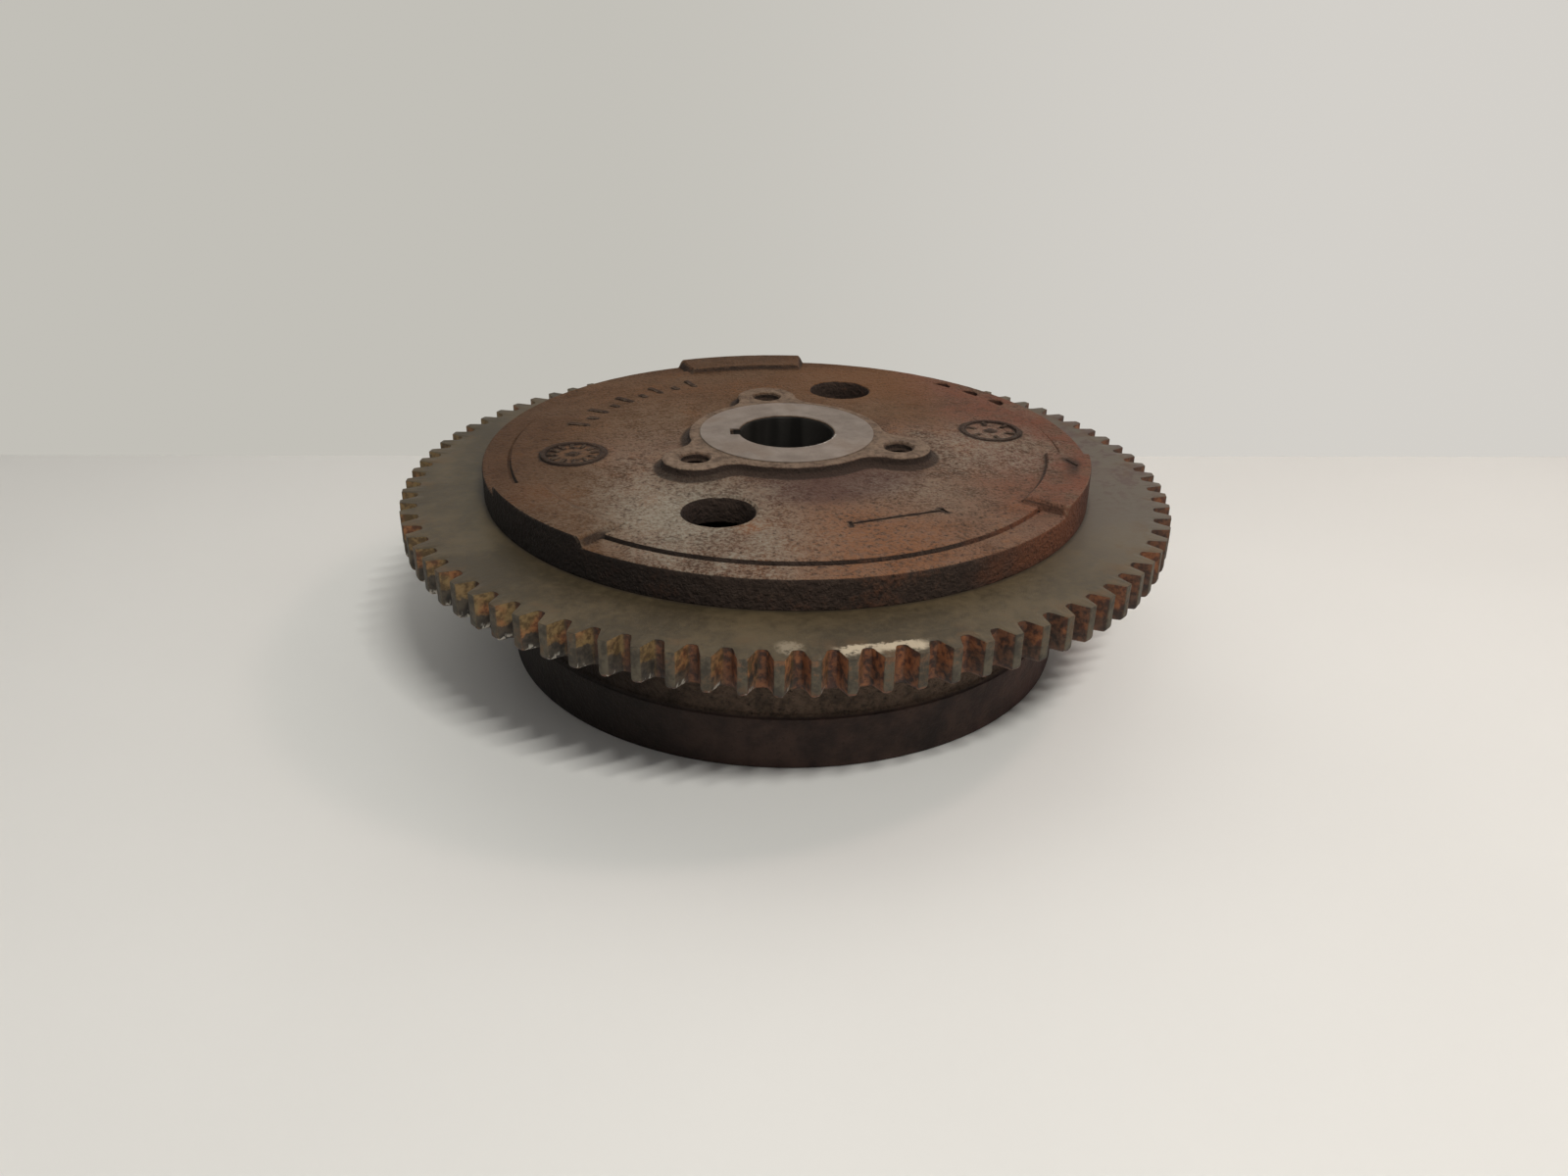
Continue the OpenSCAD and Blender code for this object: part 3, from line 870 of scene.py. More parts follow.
# %% Breaker cam: a ground ring with one low sector, and the dowel that sets it
CAM_R, CAM_SHIFT, CAM_BIG = 25.5, 4.4, 28.5
CAM_LOW_Z, CAM_HIGH_Z = CAM_LOW[2], CAM_HIGH[2]


def cam_radius(degrees):
    a = math.radians(degrees)
    low_sector = math.sqrt(CAM_BIG ** 2 - (CAM_SHIFT * math.sin(a)) ** 2) - CAM_SHIFT * math.cos(a)
    return min(CAM_R, low_sector)


def cam_ring(inset, height, inner=None):
    return [(*polar(inner if inner else cam_radius(2 * k) - inset, 2 * k), height) for k in range(180)]


cam = lofted("breaker_cam_shown", [
    cam_ring(0, CAM_LOW_Z, BOSS_R + 0.4),
    *(cam_ring(inset, CAM_LOW_Z + rise) for inset, rise in ((0.6, 0), (0.2, 0.15), (0, 0.6))),
    *(cam_ring(inset, CAM_HIGH_Z - drop) for inset, drop in ((0, 0.6), (0.2, 0.15), (0.6, 0))),
    cam_ring(0, CAM_HIGH_Z, BOSS_R + 0.4),
    cam_ring(0, CAM_HIGH_Z - 0.4, BOSS_R),
    cam_ring(0, CAM_LOW_Z + 0.4, BOSS_R),
], closed=True)


def dowel_shape(name, r, low, high, edge):
    section = [(0, low), (r - edge, low), (r, low + edge), (r, high - edge), (r - edge, high), (0, high)]
    return placed(turned(name, section, 24), BOSS_R, -90, 0)


dowel = dowel_shape("cam_dowel_shown", 1.5, CAM_LOW_Z, CAM_HIGH_Z, 0.25)
carve(cam, [dowel_shape("cutter", 1.52, CAM_LOW_Z - 1, CAM_HIGH_Z + 1, 0.0)])
carve(casting, [dowel_shape("cutter", 1.52, CAM_LOW_Z, CAM_HIGH_Z + 0.02, 0.0)])
inner_pieces = magnets + spacers + shoes + screws + rivets + [cam, dowel]
for ob in inner_pieces:
    smooth(ob, 30)
print("inner pieces:", len(inner_pieces))

# %% [markdown]
# ## What each piece stands for
#
# Nothing moves here, so every piece rides on the one body. Each replaces its CAD node, which is hidden.

# %% Tie the pieces to the CAD
def stand_for(ob, node, slot):
    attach(ob, "root")
    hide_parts(node)


casting.name = "flywheel_casting"
stand_for(casting, "flywheel_body", "casting")
stand_for(gear, "ring_gear", "gear_steel")
stand_for(cam, "breaker_cam", "ground_steel")
stand_for(dowel, "cam_dowel", "ground_steel")
rounds = {
    "magnet": (magnets, "magnet_alloy"),
    "pole_shoe": (shoes, "pole_laminations"),
    "magnet_spacer": (spacers, "spacer_brass"),
    "pole_screws": (screws, "screw_steel"),
    "pole_rivets": (rivets, "rivet_steel"),
}
for stem, (pieces, slot) in rounds.items():
    for i, piece in enumerate(pieces, 1):
        stand_for(piece, f"{stem}_{i}", slot)
print("pieces tied:", 4 + sum(len(pieces) for pieces, _ in rounds.values()))

# %% [markdown]
# ## Worn edges
#
# Handling rubs rust off whatever stands out, and hollows are darkened. The shape itself tells which is
# which: a point that stands out from its neighbours lies on an edge, and one that sinks lies in a
# hollow. Each mesh keeps that as an attribute called edge, which the materials read.

# %% Measure how far each point stands out
def mark_edges(ob):
    mesh = ob.data
    count = len(mesh.vertices)
    places = [v.co for v in mesh.vertices]
    normals = [v.vector for v in mesh.vertex_normals]
    total, links = [0.0] * count, [0] * count
    pairs = [tuple(e.vertices) for e in mesh.edges]
    for a, b in pairs:
        way = places[b] - places[a]
        if way.length > 0:
            way.normalize()
            total[a] -= way.dot(normals[a])
            total[b] += way.dot(normals[b])
            links[a] += 1
            links[b] += 1
    sharp = [t / max(n, 1) for t, n in zip(total, links)]
    layer = mesh.attributes.new("edge", "FLOAT", "POINT")
    layer.data.foreach_set("value", sharp)


for ob in [casting, gear] + inner_pieces:
    mark_edges(ob)
print("edges marked on", len(inner_pieces) + 2, "pieces")

# %% Darken round the marks, dash and step, and paint shade at the foot of the hub and pads and in the puller holes
def add_darkening_and_shade(ob, sources, lowest):
    """Each source is its points, how far its darkening reaches, how strong it is, and how high it lies."""
    trees = []
    for points, reach, strength, highest in sources:
        tree = KDTree(len(points))
        for i, point in enumerate(points):
            tree.insert((point[0], point[1], 0), i)
        tree.balance()
        trees.append((tree, reach * MM, strength, highest * MM))
    darkening_and_shade = []
    for v in ob.data.vertices:
        here = (v.co.x, v.co.y, 0)
        near = [strength * max(0.0, 1 - tree.find(here)[2] / reach)
                for tree, reach, strength, highest in trees if v.co.z < highest]
        darkening_and_shade.append(max(near, default=0.0) if v.co.z > lowest * MM else 0.0)
    ob.data.attributes.new("darkening_and_shade", "FLOAT", "POINT").data.foreach_set("value", darkening_and_shade)


def in_metres(points):
    return [Vector(p) * MM for p in points]


hub_foot = in_metres(hub_ring(0.9, rise=0))
SLOPED_PAD = 210
pad_foot = [p for angle in EAR_ANGLES for p in in_metres(pad_ring(angle, 1.2, 0.4, rise=0))
            if math.hypot(p.x, p.y) < (DISC_R - 1) * MM
            and not (angle == SLOPED_PAD and p.length < (PAD_INNER_R + 3) * MM)]
hole_centres = in_metres([(*polar(PULLER_CIRCLE_R, angle), 0) for angle in EAR_ANGLES])
step_line = in_metres([(*polar(STEP_R + 0.5, k), 0) for k in range(360)])
# Plain darkening round the marks, the dash and the step; painted shade at the foot of the hub and of the pads
# and inside the puller holes.
add_darkening_and_shade(casting, [(mark_points, 1.3, 1.0, PAD_TOP), (dash_points, 1.3, 1.0, SEAT_TOP),
                   (hub_foot, 2.8, 1.25, HUB_TOP - 0.6), (pad_foot, 1.5, 0.8, PAD_TOP - 0.3),
                   (step_line, 0.8, 0.6, PAD_TOP - 0.6), (hole_centres, 5.2, 3.0, SEAT_TOP)], RIM_TOP - 2)
print("dirt added")

# %% [markdown]
# ## A way to write shaders
#
# A material is a web of nodes. To keep it readable, one class wraps a number that flows through the
# web, so that sums can be written with the usual signs, and another holds a material and adds its
# nodes. Every pattern reads the Object coordinates in millimetres, so it stays fixed to the metal.

# %% Numbers that flow through a shader
class Wire:
    """A socket's value; + - * on it add Math nodes."""

    def __init__(self, paint, socket):
        self.paint, self.socket = paint, socket

    def math(self, operation, *values):
        return self.paint.node("ShaderNodeMath", {"operation": operation}, dict(enumerate(values)))

    def __add__(self, other):
        return self.math("ADD", self, other)

    def __radd__(self, other):
        return self.math("ADD", other, self)

    def __sub__(self, other):
        return self.math("SUBTRACT", self, other)

    def __rsub__(self, other):
        return self.math("SUBTRACT", other, self)

    def __mul__(self, other):
        return self.math("MULTIPLY", self, other)

    def __rmul__(self, other):
        return self.math("MULTIPLY", other, self)

    def most(self, other):
        return self.math("MAXIMUM", self, other)

    def least(self, other):
        return self.math("MINIMUM", self, other)

    def rise(self, low, high):
        """Goes softly from 0 at low to 1 at high; high may be the smaller one."""
        return self.paint.node("ShaderNodeMapRange", {"interpolation_type": "SMOOTHSTEP"},
                               {0: self, 1: low, 2: high})


# %% A material and its nodes
class Paint:
    """A material with its Principled shader, and the place on the metal in millimetres."""

    def __init__(self, name, **constants):
        self.material = bpy.data.materials.new(name)
        self.material.use_nodes = True
        self.tree = self.material.node_tree
        self.shader = self.tree.nodes["Principled BSDF"]
        for key, value in constants.items():
            self.shader.inputs[key.replace("_", " ")].default_value = value
        coordinates = self.node("ShaderNodeTexCoord", {}, {}, "Object")
        self.spot = self.node("ShaderNodeVectorMath", {"operation": "SCALE"},
                              {0: coordinates, "Scale": 1 / MM})
        self.x, self.y, self.z = self.parts(self.spot)
        self.plan = self.node("ShaderNodeCombineXYZ", {}, {0: self.x, 1: self.y})
        self.r = self.node("ShaderNodeVectorMath", {"operation": "LENGTH"}, {0: self.plan}, "Value")
        self.edge = self.stored("edge")
        self.up = self.parts(self.node("ShaderNodeTexCoord", {}, {}, "Normal"))[2]

    def node(self, kind, settings, inputs, output=0):
        """Adds a node: its settings, then its inputs, and gives one of its outputs."""
        node = self.tree.nodes.new(kind)
        for key, value in settings.items():
            setattr(node, key, value)
        for key, value in inputs.items():
            socket = node.inputs[key]
            if isinstance(value, Wire):
                self.tree.links.new(value.socket, socket)
            elif socket.type == "RGBA":
                socket.default_value = (*value, 1.0)
            else:
                socket.default_value = value
        return Wire(self, node.outputs[output])

    def stored(self, name):
        """A number kept with the mesh."""
        return self.node("ShaderNodeAttribute", {"attribute_name": name}, {}, "Fac")

    def parts(self, vector):
        node = self.node("ShaderNodeSeparateXYZ", {}, {0: vector}).socket.node
        return [Wire(self, socket) for socket in node.outputs]

    def grain(self, size, detail=2.0, roughness=0.55, shift=0.0, stretch=(1, 1, 1)):
        """Noise between 0 and 1 whose lumps are about size millimetres across."""
        spot = self.node("ShaderNodeMapping", {}, {"Vector": self.spot, "Location": (shift, shift, shift),
                                                   "Scale": tuple(s / size for s in stretch)})
        return self.node("ShaderNodeTexNoise", {}, {"Vector": spot, "Scale": 1.0, "Detail": detail,
                                                    "Roughness": roughness})

    def mix(self, factor, a, b):
        return self.node("ShaderNodeMix", {"data_type": "RGBA"}, {0: factor, 6: a, 7: b}, 2)

    def layers(self, colour, *films):
        """Lays films over a colour, one after another; each is its cover from 0 to 1, and its colour."""
        for cover, tone in films:
            colour = self.mix(cover, colour, tone)
        return colour

    def near(self, place, radius, soft, wander=None):
        """1 within a radius of a place in plan, and 0 outside, with a wandering border."""
        apart = self.node("ShaderNodeVectorMath", {"operation": "DISTANCE"},
                          {0: self.plan, 1: (*place, 0)}, "Value")
        if wander:
            apart = apart + wander
        return apart.rise(radius + soft, radius - soft)

    def patches(self, first, *rows):
        """The strongest of a mask and several patches: place, radius, softness, wander and strength."""
        for place, radius, soft, wander, strength in rows:
            first = first.most(self.near(place, radius, soft, wander) * strength)
        return first

    def finish(self, colour, roughness, height, depth, metallic=None):
        """Feeds the shader; height is a relief between 0 and 1, and depth its size in millimetres."""
        bump = self.node("ShaderNodeBump", {}, {"Strength": 1.0, "Distance": depth * MM, "Height": height})
        feeds = {"Base Color": colour, "Roughness": roughness, "Normal": bump, "Metallic": metallic}
        for name, wire in feeds.items():
            if isinstance(wire, Wire):
                self.tree.links.new(wire.socket, self.shader.inputs[name])
        return self.material


def coat(pieces, material):
    for piece in pieces:
        piece.data.materials.clear()
        piece.data.materials.append(material)


print("shader helpers ready")

# %% [markdown]
# ## Rusty cast iron
#
# The casting is matt and grainy. Its colour is a mixture of layers: brown rust everywhere, an orange
# bloom where water stood, a purple-brown film on one side, pale bare iron where it was handled with a
# painted sheen over it, and dark pits. Painted shade darkens the left and the back, a patch in front of
# the hub, in part the walls and steep faces, the foot of the hub and pads, and the puller holes. Turned
# surfaces, such as the nut seat and the bore, are smoother and shinier.

# %% Mix the cast iron
def cast_iron():
    paint = Paint("rusty_cast_iron", Specular_IOR_Level=0.3)
    r, z, x, y, edge, up = paint.r, paint.z, paint.x, paint.y, paint.edge, paint.up
    sand = paint.grain(0.75, 2, 0.6)
    fine = paint.grain(1.6, 3, 0.62, shift=11)
    lumps = paint.grain(5.5, 4, 0.6, shift=3)
    broad = paint.grain(24, 3, 0.55, shift=7)
    other = paint.grain(17, 4, 0.6, shift=31)
    wander = (lumps - 0.5) * 26 + (broad - 0.5) * 30
    blotch = other * 0.5 + lumps * 0.5

    brown = paint.mix((lumps * 0.5 + sand * 0.5).rise(0.36, 0.62), (0.056, 0.028, 0.016),
                      (0.16, 0.086, 0.053))
    brown = paint.mix((broad * 0.7 + fine * 0.3).rise(0.4, 0.64) * 0.5, brown, (0.17, 0.108, 0.072))
    bloom = paint.patches((other * 0.62 + fine * 0.38).rise(0.52, 0.68) * 0.6,
                          ((6, -72), 24, 16, wander, fine.rise(0.36, 0.6) * 0.6),
                          ((38, 60), 24, 14, wander, 0.45),
                          ((-71, -31), 9, 7, wander * 0.4, 0.4 + fine * 0.5),
                          ((-19, -58), 4, 4, wander * 0.3, 0.7))
    plum = x.rise(34, 74) * blotch.rise(0.36, 0.6) * 0.75
    # Painted shade: a dark purple-brown patch in front of the hub, between its two front ears.
    purple_hub_shade = paint.near((8, -36), 22, 9, (lumps - 0.5) * 10) * r.rise(52, 42) * 0.8
    colour = paint.layers(brown, (bloom, (0.225, 0.088, 0.034)), (plum, (0.135, 0.042, 0.024)),
                          (purple_hub_shade, (0.07, 0.032, 0.025)))

    # The pale patches and the worn patch below are bare iron with a painted sheen over it.
    bare_and_sheen_zone = paint.patches(paint.near((-44, -38), 32, 22, wander),
                              ((-30, -64), 26, 12, wander, 1.0),
                              ((56, -12), 20, 10, wander, 0.9),
                              ((26, -40), 16, 12, wander, 0.5),
                              ((-34, 22), 20, 14, wander, 0.6))
    speckle = (sand * 0.5 + fine * 0.5).rise(0.45, 0.6)
    bare_and_sheen = bare_and_sheen_zone * (speckle * 0.6 + lumps.rise(0.42, 0.64) * 0.4) + speckle * broad.rise(0.5, 0.7) * 0.15
    worn_and_sheen = paint.near((-39, -46), 15, 12, wander * 0.6) * (speckle * 0.5 + 0.5)
    far_side = (y + wander * 0.5).rise(-2, 22).most((x + wander * 0.4).rise(-46, -62)) * x.rise(60, 44)
    # Painted shade: the left side and the back are darkened.
    left_back_shade = (x + (lumps - 0.5) * 14).rise(-42, -88).most(y.rise(66, 84) * 0.8)
    colour = paint.layers(colour, (bare_and_sheen * 0.9, (0.222, 0.192, 0.148)), (worn_and_sheen * 0.75, (0.26, 0.235, 0.185)),
                          (far_side * 0.46, (0.095, 0.04, 0.007)), (left_back_shade * 0.5, (0.04, 0.017, 0.008)))

    # The side walls, the drum and every steep face take the dark wall colour: partly darker iron, partly
    # painted shade.
    steep = up.rise(0.7, 0.45)
    wall = (z.rise(56.3, 55.6) * r.rise(85.5, 86.4)).most(z.rise(50, 49)).most(steep)
    wall_rust = paint.patches((other * 0.6 + fine * 0.4).rise(0.5, 0.68) * 0.4,
                              ((58, -64), 20, 14, wander, z.rise(46, 50) * 0.85))
    wall_colour = paint.mix((lumps * 0.4 + fine * 0.6).rise(0.34, 0.66), (0.024, 0.014, 0.01),
                            (0.046, 0.029, 0.021))
    drum_colour = paint.mix((lumps * 0.5 + fine * 0.5).rise(0.34, 0.66), (0.06, 0.042, 0.03),
                            (0.15, 0.1, 0.07))
    low_band = z.rise(15.4, 14.8)
    low_colour = paint.mix(blotch.rise(0.36, 0.64), (0.026, 0.015, 0.012), (0.066, 0.036, 0.027))
    # The left part of the wall is painted nearly black as painted shade.
    wall_colour = paint.layers(wall_colour, (wall_rust, (0.15, 0.053, 0.023)),
                               (z.rise(39, 37.5), drum_colour), (low_band, low_colour),
                               (x.rise(-14, -64) * 0.88, (0.009, 0.006, 0.0045)),
                               (x.rise(25, 75) * 0.3, (0.11, 0.03, 0.017)))

    pits = (sand * 0.6 + fine * 0.4).rise(0.44, 0.33) * 0.85
    # The stored darkening: plain darkening round the marks, dash and step, and painted shade at the foot of
    # the hub and pads and in the puller holes.
    darkening_and_shade = (paint.stored("darkening_and_shade") * (0.55 + lumps * 0.9)).rise(0.28, 0.78)
    rubbed = edge.rise(0.07, 0.24) * (fine * 0.6 + lumps * 0.4).rise(0.4, 0.6) * z.rise(54, 56)
    colour = paint.layers(colour, (wall, wall_colour), (pits, (0.032, 0.019, 0.013)),
                          (edge.rise(-0.03, -0.2) * 0.8, (0.02, 0.013, 0.009)),
                          (darkening_and_shade * 0.86, (0.027, 0.016, 0.011)), (rubbed * 0.4, (0.22, 0.155, 0.105)))

    lug = z.rise(HUB_TOP - 0.5, HUB_TOP - 0.1) * r.rise(47, 44)
    lug_colour = paint.mix((lumps * 0.5 + fine * 0.5).rise(0.36, 0.62), (0.1, 0.066, 0.045),
                           (0.215, 0.15, 0.105))
    seat = z.rise(SEAT_TOP - 0.25, SEAT_TOP - 0.15) * r.rise(SEAT_R + 0.15, SEAT_R - 0.05)
    rings = paint.node("ShaderNodeTexWave", {"wave_type": "RINGS", "rings_direction": "Z"},
                       {"Vector": paint.spot, "Scale": 0.9, "Distortion": 1.2, "Detail": 2.0}, "Fac")
    seat_colour = paint.mix(blotch.rise(0.34, 0.66), (0.2, 0.158, 0.132), (0.31, 0.258, 0.22))
    seat_colour = paint.mix(other.rise(0.52, 0.66) * 0.5, seat_colour, (0.18, 0.12, 0.085))
    bore = r.rise(BORE_BOTTOM_R + 0.9, BORE_BOTTOM_R + 0.5) * z.rise(SEAT_TOP - 0.35, SEAT_TOP - 0.6)
    bore_colour = paint.mix(paint.grain(9, 2, 0.5, shift=4, stretch=(1, 1, 0.2)).rise(0.4, 0.6),
                            (0.02, 0.018, 0.016), (0.05, 0.045, 0.04))
    chips = paint.near((8.5, -10.5), 7, 2) * r.rise(BORE_R - 0.6, BORE_R - 0.2)
    chips = chips * r.rise(BORE_R + 1.3, BORE_R + 0.9) * sand.rise(0.52, 0.56)
    chips = chips * z.rise(SEAT_TOP - 3, SEAT_TOP - 2)
    colour = paint.layers(colour, (lug * 0.8, lug_colour), (seat, seat_colour), (bore, bore_colour),
                          (chips, (0.75, 0.72, 0.66)))

    turned_skin = seat.most(bore)
    roughness = 0.84 - turned_skin * 0.36 - low_band * wall * 0.2 + fine * 0.12 - bare_and_sheen * 0.08
    relief = sand * 0.8 + fine * 1.1 + lumps * 0.6
    smooth_part = turned_skin.most(low_band * wall * 0.7)
    relief = relief * (1.0 - smooth_part * 0.93) + rings * seat * 0.1
    return paint.finish(colour, roughness, relief, 0.7, turned_skin * 0.55)


coat([casting], cast_iron())

# %% [markdown]
# ## Oiled and rusted gear steel
#
# The ring's flat top is smooth olive-grey steel under a film of old grease, spotted on one side, where a
# painted reflection makes it lighter and bluer. Its teeth are another matter: the flanks hold ochre and
# orange rust near the top and dark grease lower down, and the starter pinion has rubbed their lower
# corners bright.

# %% Mix the gear steel
def gear_steel():
    paint = Paint("starter_gear_steel", Specular_IOR_Level=0.45)
    r, z, x, y, edge = paint.r, paint.z, paint.x, paint.y, paint.edge
    sand = paint.grain(0.8, 2, 0.6)
    fine = paint.grain(1.8, 3, 0.6, shift=5)
    lumps = paint.grain(6, 4, 0.6, shift=17)
    tooth_tone = paint.grain(9, 1, 0.5, shift=41)
    broad = paint.grain(30, 3, 0.55, shift=23)
    wander = (lumps - 0.5) * 22 + (broad - 0.5) * 24

    olive = paint.mix((broad * 0.6 + fine * 0.4).rise(0.36, 0.64), (0.043, 0.03, 0.014), (0.08, 0.057, 0.028))
    dusty = (broad * 0.5 + lumps * 0.5).rise(0.44, 0.62) * 0.6
    # clear is a painted reflection: the right side of the top is painted lighter and greyer.
    clear = paint.near((92, -20), 50, 30, wander)
    spots = (lumps * 0.6 + fine * 0.4).rise(0.49, 0.58) * paint.near((100, 8), 42, 22, wander)
    film = paint.near((100, 20), 34, 20, wander) * (lumps * 0.5 + broad * 0.5).rise(0.46, 0.54)
    stain = (lumps * 0.5 + tooth_tone * 0.5).rise(0.5, 0.64) * r.rise(98, 105)
    stain = stain.most((lumps * 0.6 + broad * 0.4).rise(0.58, 0.7)) * 0.6
    bald = paint.near((1, -105.5), 9.5, 3, (lumps - 0.5) * 14) * (r + (fine - 0.5) * 4).rise(103.4, 104.4)
    bald = bald * (r + (lumps - 0.5) * 8).rise(109, 106.5)
    bald = bald.most(paint.near((-19, -102.6), 2.7, 1.0, (fine - 0.5) * 6) * 0.4)
    olive = paint.layers(olive, (dusty, (0.1, 0.071, 0.036)), (clear * 0.7, (0.108, 0.086, 0.065)),
                         (spots * 0.8, (0.07, 0.035, 0.028)), (film * 0.75, (0.062, 0.034, 0.028)),
                         (stain, (0.1, 0.056, 0.024)),
                         (bald * fine.rise(0.3, 0.46) * 0.8, (0.52, 0.43, 0.31)))

    turn = y.math("ARCTAN2", y, x) * (180 / math.pi / PITCH) - TOOTH_ANGLE / PITCH + (fine - 0.5) * 0.07
    part = turn.math("FRACT", turn)
    driven = part.rise(0.1, 0.15) * part.rise(0.44, 0.34)
    ochre = paint.mix(fine.rise(0.38, 0.64), (0.082, 0.05, 0.019), (0.2, 0.13, 0.052))
    red_brown = paint.mix(fine.rise(0.36, 0.62), (0.032, 0.016, 0.01), (0.12, 0.047, 0.022))
    orange = paint.mix(fine.rise(0.36, 0.62), (0.08, 0.024, 0.012), (0.25, 0.088, 0.031))
    rusty_teeth = paint.near((-8, -109), 30, 18, (lumps - 0.5) * 30)
    rusty_teeth = rusty_teeth * (lumps * 0.4 + fine * 0.6).rise(0.34, 0.56)
    grease = paint.mix(fine.rise(0.35, 0.65), (0.016, 0.014, 0.012), (0.045, 0.038, 0.03))
    greased = (z + (lumps - 0.5) * 9 + (tooth_tone - 0.5) * 7).rise(43.6, 42.7)
    greased = greased * (part.rise(0.12, 0.16) * part.rise(0.38, 0.32)).most(0.45)
    streak = paint.grain(1.1, 2, 0.6, shift=9, stretch=(1, 1, 0.3))
    bright = streak.rise(0.5, 0.6) * (z + (fine - 0.5) * 2).rise(40.2, 39.0)
    bright = bright * part.rise(0.05, 0.1) * part.rise(0.46, 0.4) * r.rise(105.8, 106.6)
    tip = paint.mix((fine * 0.5 + lumps * 0.5).rise(0.38, 0.62), (0.04, 0.031, 0.02), (0.095, 0.077, 0.05))
    tip = paint.mix((tooth_tone * 0.5 + fine * 0.5).rise(0.5, 0.62) * 0.6, tip, (0.1, 0.05, 0.022))
    tip = paint.mix(rusty_teeth * (z + (fine - 0.5) * 22).rise(44, 49) * 0.35, tip, orange)
    on_tip = r.rise(GEAR_TIP_R - 0.4, GEAR_TIP_R - 0.15)
    flank = paint.layers(red_brown, (driven * (0.5 + tooth_tone * 0.9).least(1.0), ochre),
                         ((tooth_tone * 0.6 + lumps * 0.4).rise(0.5, 0.62) * 0.75, orange),
                         (rusty_teeth * 0.7, orange), (greased * (1.0 - rusty_teeth * 0.6) * 0.9, grease),
                         (bright * 0.75, (0.56, 0.52, 0.45)), (on_tip, tip))

    top = z.rise(GEAR_TOP - 0.22, GEAR_TOP - 0.08)
    under = paint.mix((lumps * 0.4 + fine * 0.6).rise(0.34, 0.66), (0.045, 0.029, 0.018),
                      (0.095, 0.055, 0.033))
    glint = edge.rise(0.12, 0.3) * z.rise(GEAR_TOP - 0.9, GEAR_TOP - 0.2) * r.rise(106.5, 108)
    pits = (sand * 0.6 + fine * 0.4).rise(0.37, 0.28) * 0.7
    shadow_line = r.rise(88.2, 87.1) * top
    colour = paint.layers(under, (r.rise(104.6, 105.2), flank), (top, olive),
                          (glint * fine.rise(0.36, 0.55) * 0.3, (0.2, 0.16, 0.11)),
                          (pits, (0.035, 0.024, 0.016)),
                          (edge.rise(-0.05, -0.25) * 0.6, (0.022, 0.016, 0.011)),
                          (shadow_line * 0.7, (0.03, 0.021, 0.013)))

    roughness = 0.6 - top * 0.12 + fine * 0.16 - bright * 0.2 + stain * top * 0.1
    relief = (sand * 0.25 + fine * 0.45 + lumps * 0.9) * (1.0 - top * 0.82)
    return paint.finish(colour, roughness, relief, 0.5, bright * 0.6)


coat([gear], gear_steel())

# %% [markdown]
# ## Metals inside the cup
#
# The inner parts are cleaner, since the cup kept water out: dull sintered magnets, grey stampings with
# rust in their seams, brass strips and bright screws. One recipe serves them all, with two tones, a
# stain, and how rough and metallic each is.

# %% Mix the other metals
def plain_metal(name, dark, light, stain, size, roughness, metallic, relief_depth, stretch=(1, 1, 1)):
    paint = Paint(name, Specular_IOR_Level=0.5)
    fine = paint.grain(size, 3, 0.6, shift=2, stretch=stretch)
    lumps = paint.grain(size * 4, 3, 0.6, shift=13)
    stained = lumps.rise(0.54, 0.68) * 0.6
    darker, lighter = tuple(c * 0.35 for c in dark), tuple(min(c * 1.5, 0.8) for c in light)
    colour = paint.mix((fine * 0.6 + lumps * 0.4).rise(0.36, 0.64), dark, light)
    colour = paint.layers(colour, (stained, stain), (paint.edge.rise(-0.05, -0.3) * 0.7, darker),
                          (paint.edge.rise(0.1, 0.35) * 0.5, lighter))
    return paint.finish(colour, roughness + fine * 0.2 + stained * 0.2, fine, relief_depth,
                        metallic - stained * metallic * 0.9)


RUST = (0.17, 0.075, 0.035)
for pieces, *recipe in (
        (magnets, "magnet_alloy", (0.12, 0.115, 0.11), (0.24, 0.23, 0.215), RUST, 1.1, 0.5, 0.5, 0.12),
        (shoes, "pole_stampings", (0.1, 0.095, 0.088), (0.25, 0.235, 0.215), RUST, 1.4, 0.42, 0.6, 0.08,
         (1, 1, 6)),
        (spacers, "spacer_brass", (0.36, 0.25, 0.1), (0.6, 0.45, 0.2), (0.2, 0.14, 0.07), 1.5, 0.35, 0.85,
         0.05),
        (screws, "screw_steel", (0.2, 0.19, 0.175), (0.4, 0.385, 0.36), RUST, 0.9, 0.34, 0.85, 0.06),
        (rivets, "rivet_steel", (0.19, 0.18, 0.165), (0.37, 0.35, 0.32), RUST, 1.0, 0.4, 0.8, 0.06),
        ([cam, dowel], "ground_steel", (0.24, 0.23, 0.22), (0.45, 0.435, 0.41), (0.2, 0.13, 0.08), 0.8, 0.26,
         0.9, 0.03, (1, 1, 5))):
    coat(pieces, plain_metal(*recipe))
print("materials:", len({ob.data.materials[0].name for ob in [casting, gear] + inner_pieces}))

# %% [markdown]
# ## Floor, wall and light
#
# The flywheel stands on a pale table, which ends a little way behind it, before a pale backdrop. A
# wall stands at the table's edge and throws light back on the metal, but the camera doesn't see it, so
# it never hides the flywheel. The backdrop's colour is part of the surroundings, below the horizon.
# A long tube above the viewer, a wide weak panel, a small warm lamp to the right, and an even glow
# light the scene.

# %% Floor and wall
def matt(name, colour, roughness):
    paint = Paint(name, Specular_IOR_Level=0.3)
    cloud = paint.grain(160, 2, 0.5)
    shade = tuple(c * 0.965 for c in colour)
    return paint.finish(paint.mix(cloud.rise(0.3, 0.7), shade, colour), roughness + cloud * 0.05,
                        paint.grain(0.6, 1), 0.004)


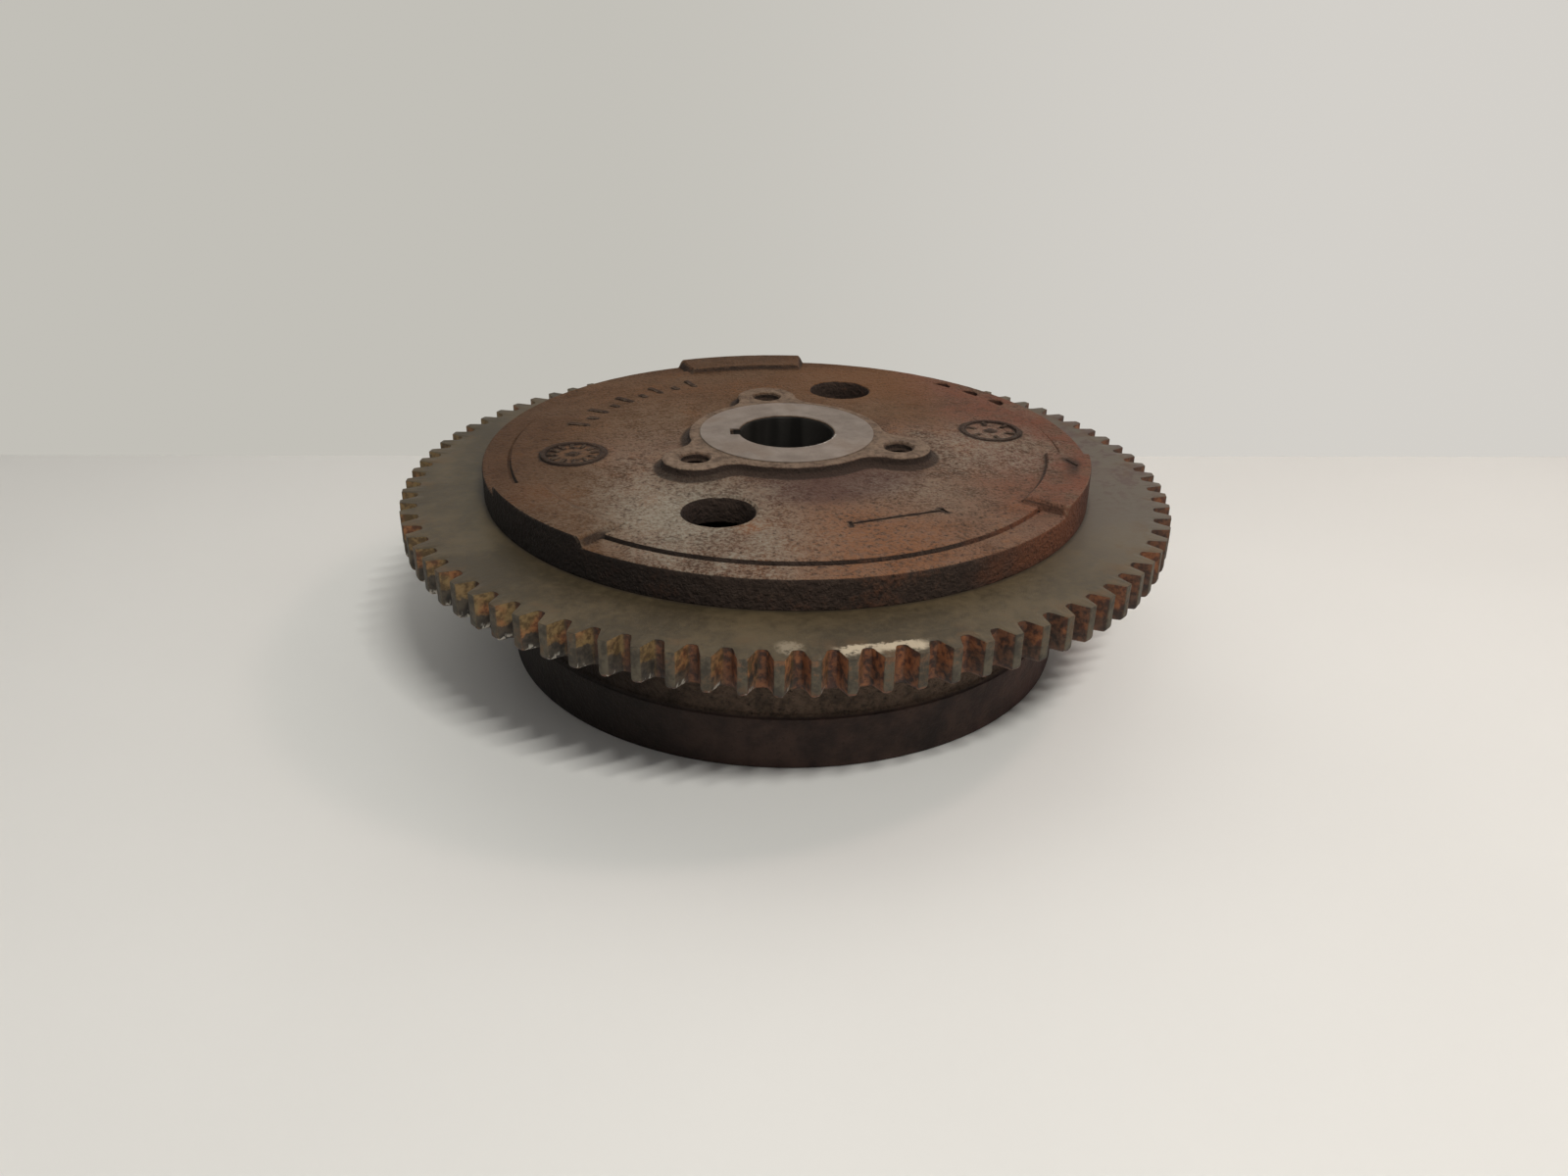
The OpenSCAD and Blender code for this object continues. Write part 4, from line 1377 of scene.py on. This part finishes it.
WALL_LEFT, WALL_RIGHT = Vector((-286, 187)), Vector((358, 90))
FLOOR_SIZE = 4.0
along = (WALL_RIGHT - WALL_LEFT).normalized()
middle = (WALL_LEFT + WALL_RIGHT) / 2 * MM
floor_centre = middle + Vector((along.y, -along.x)) * (FLOOR_SIZE / 2)
wall_turn = math.atan2(along.y, along.x)


def stage_plane(name, centre, tilt, material):
    clear_selection()
    bpy.ops.mesh.primitive_plane_add(size=FLOOR_SIZE, location=(*centre, 0),
                                     rotation=(math.radians(tilt), 0, wall_turn))
    plane = bpy.context.object
    plane.name = name
    coat([plane], material)
    return plane


stage_plane("floor", floor_centre, 0, matt("pale_table", (0.76, 0.745, 0.72), 0.5))
wall = stage_plane("wall", middle, 90, matt("pale_wall", (0.86, 0.86, 0.85), 0.7))
wall.visible_camera = False
print("floor and wall in place")

# %% Lights
def soft_light(name, direction, distance, size, power, colour):
    data = bpy.data.lights.new(name, "AREA")
    data.shape = "RECTANGLE"
    data.size, data.size_y = size
    data.energy = power
    data.color = colour
    light = bpy.data.objects.new(name, data)
    bpy.context.scene.collection.objects.link(light)
    way = Vector(direction).normalized()
    light.location = way * distance
    light.rotation_euler = way.to_track_quat("Z", "Y").to_euler()


soft_light("tube_above", (0.135, -0.574, 0.808), 1.2, (0.34, 0.035), 8.3, (1.0, 1.0, 0.955))
soft_light("front_fill", (-0.25, -0.64, 0.73), 0.7, (0.3, 0.3), 0.32, (0.97, 0.99, 1.0))
soft_light("warm_lamp", (0.59, -0.05, 0.81), 0.75, (0.09, 0.09), 0.62, (1.0, 0.78, 0.72))
print("lights placed")


# %% Surroundings
class Sky(Paint):
    """The world's nodes, made in the same way as a material's."""

    def __init__(self, world):
        self.tree = world.node_tree


world = bpy.data.worlds.new("studio")
bpy.context.scene.world = world
world.use_nodes = True
sky = Sky(world)
sideways, _, upward = sky.parts(sky.node("ShaderNodeTexCoord", {}, {}, "Generated"))
backdrop = sky.mix(sideways.rise(0.0, 0.6), (0.54, 0.525, 0.48), (0.655, 0.632, 0.592))
glow = sky.mix(upward.rise(0.03, 0.0), (0.11, 0.1095, 0.107), backdrop)
world.node_tree.links.new(glow.socket, world.node_tree.nodes["Background"].inputs["Color"])
bpy.context.scene.view_settings.view_transform = "Standard"
print("surroundings ready")
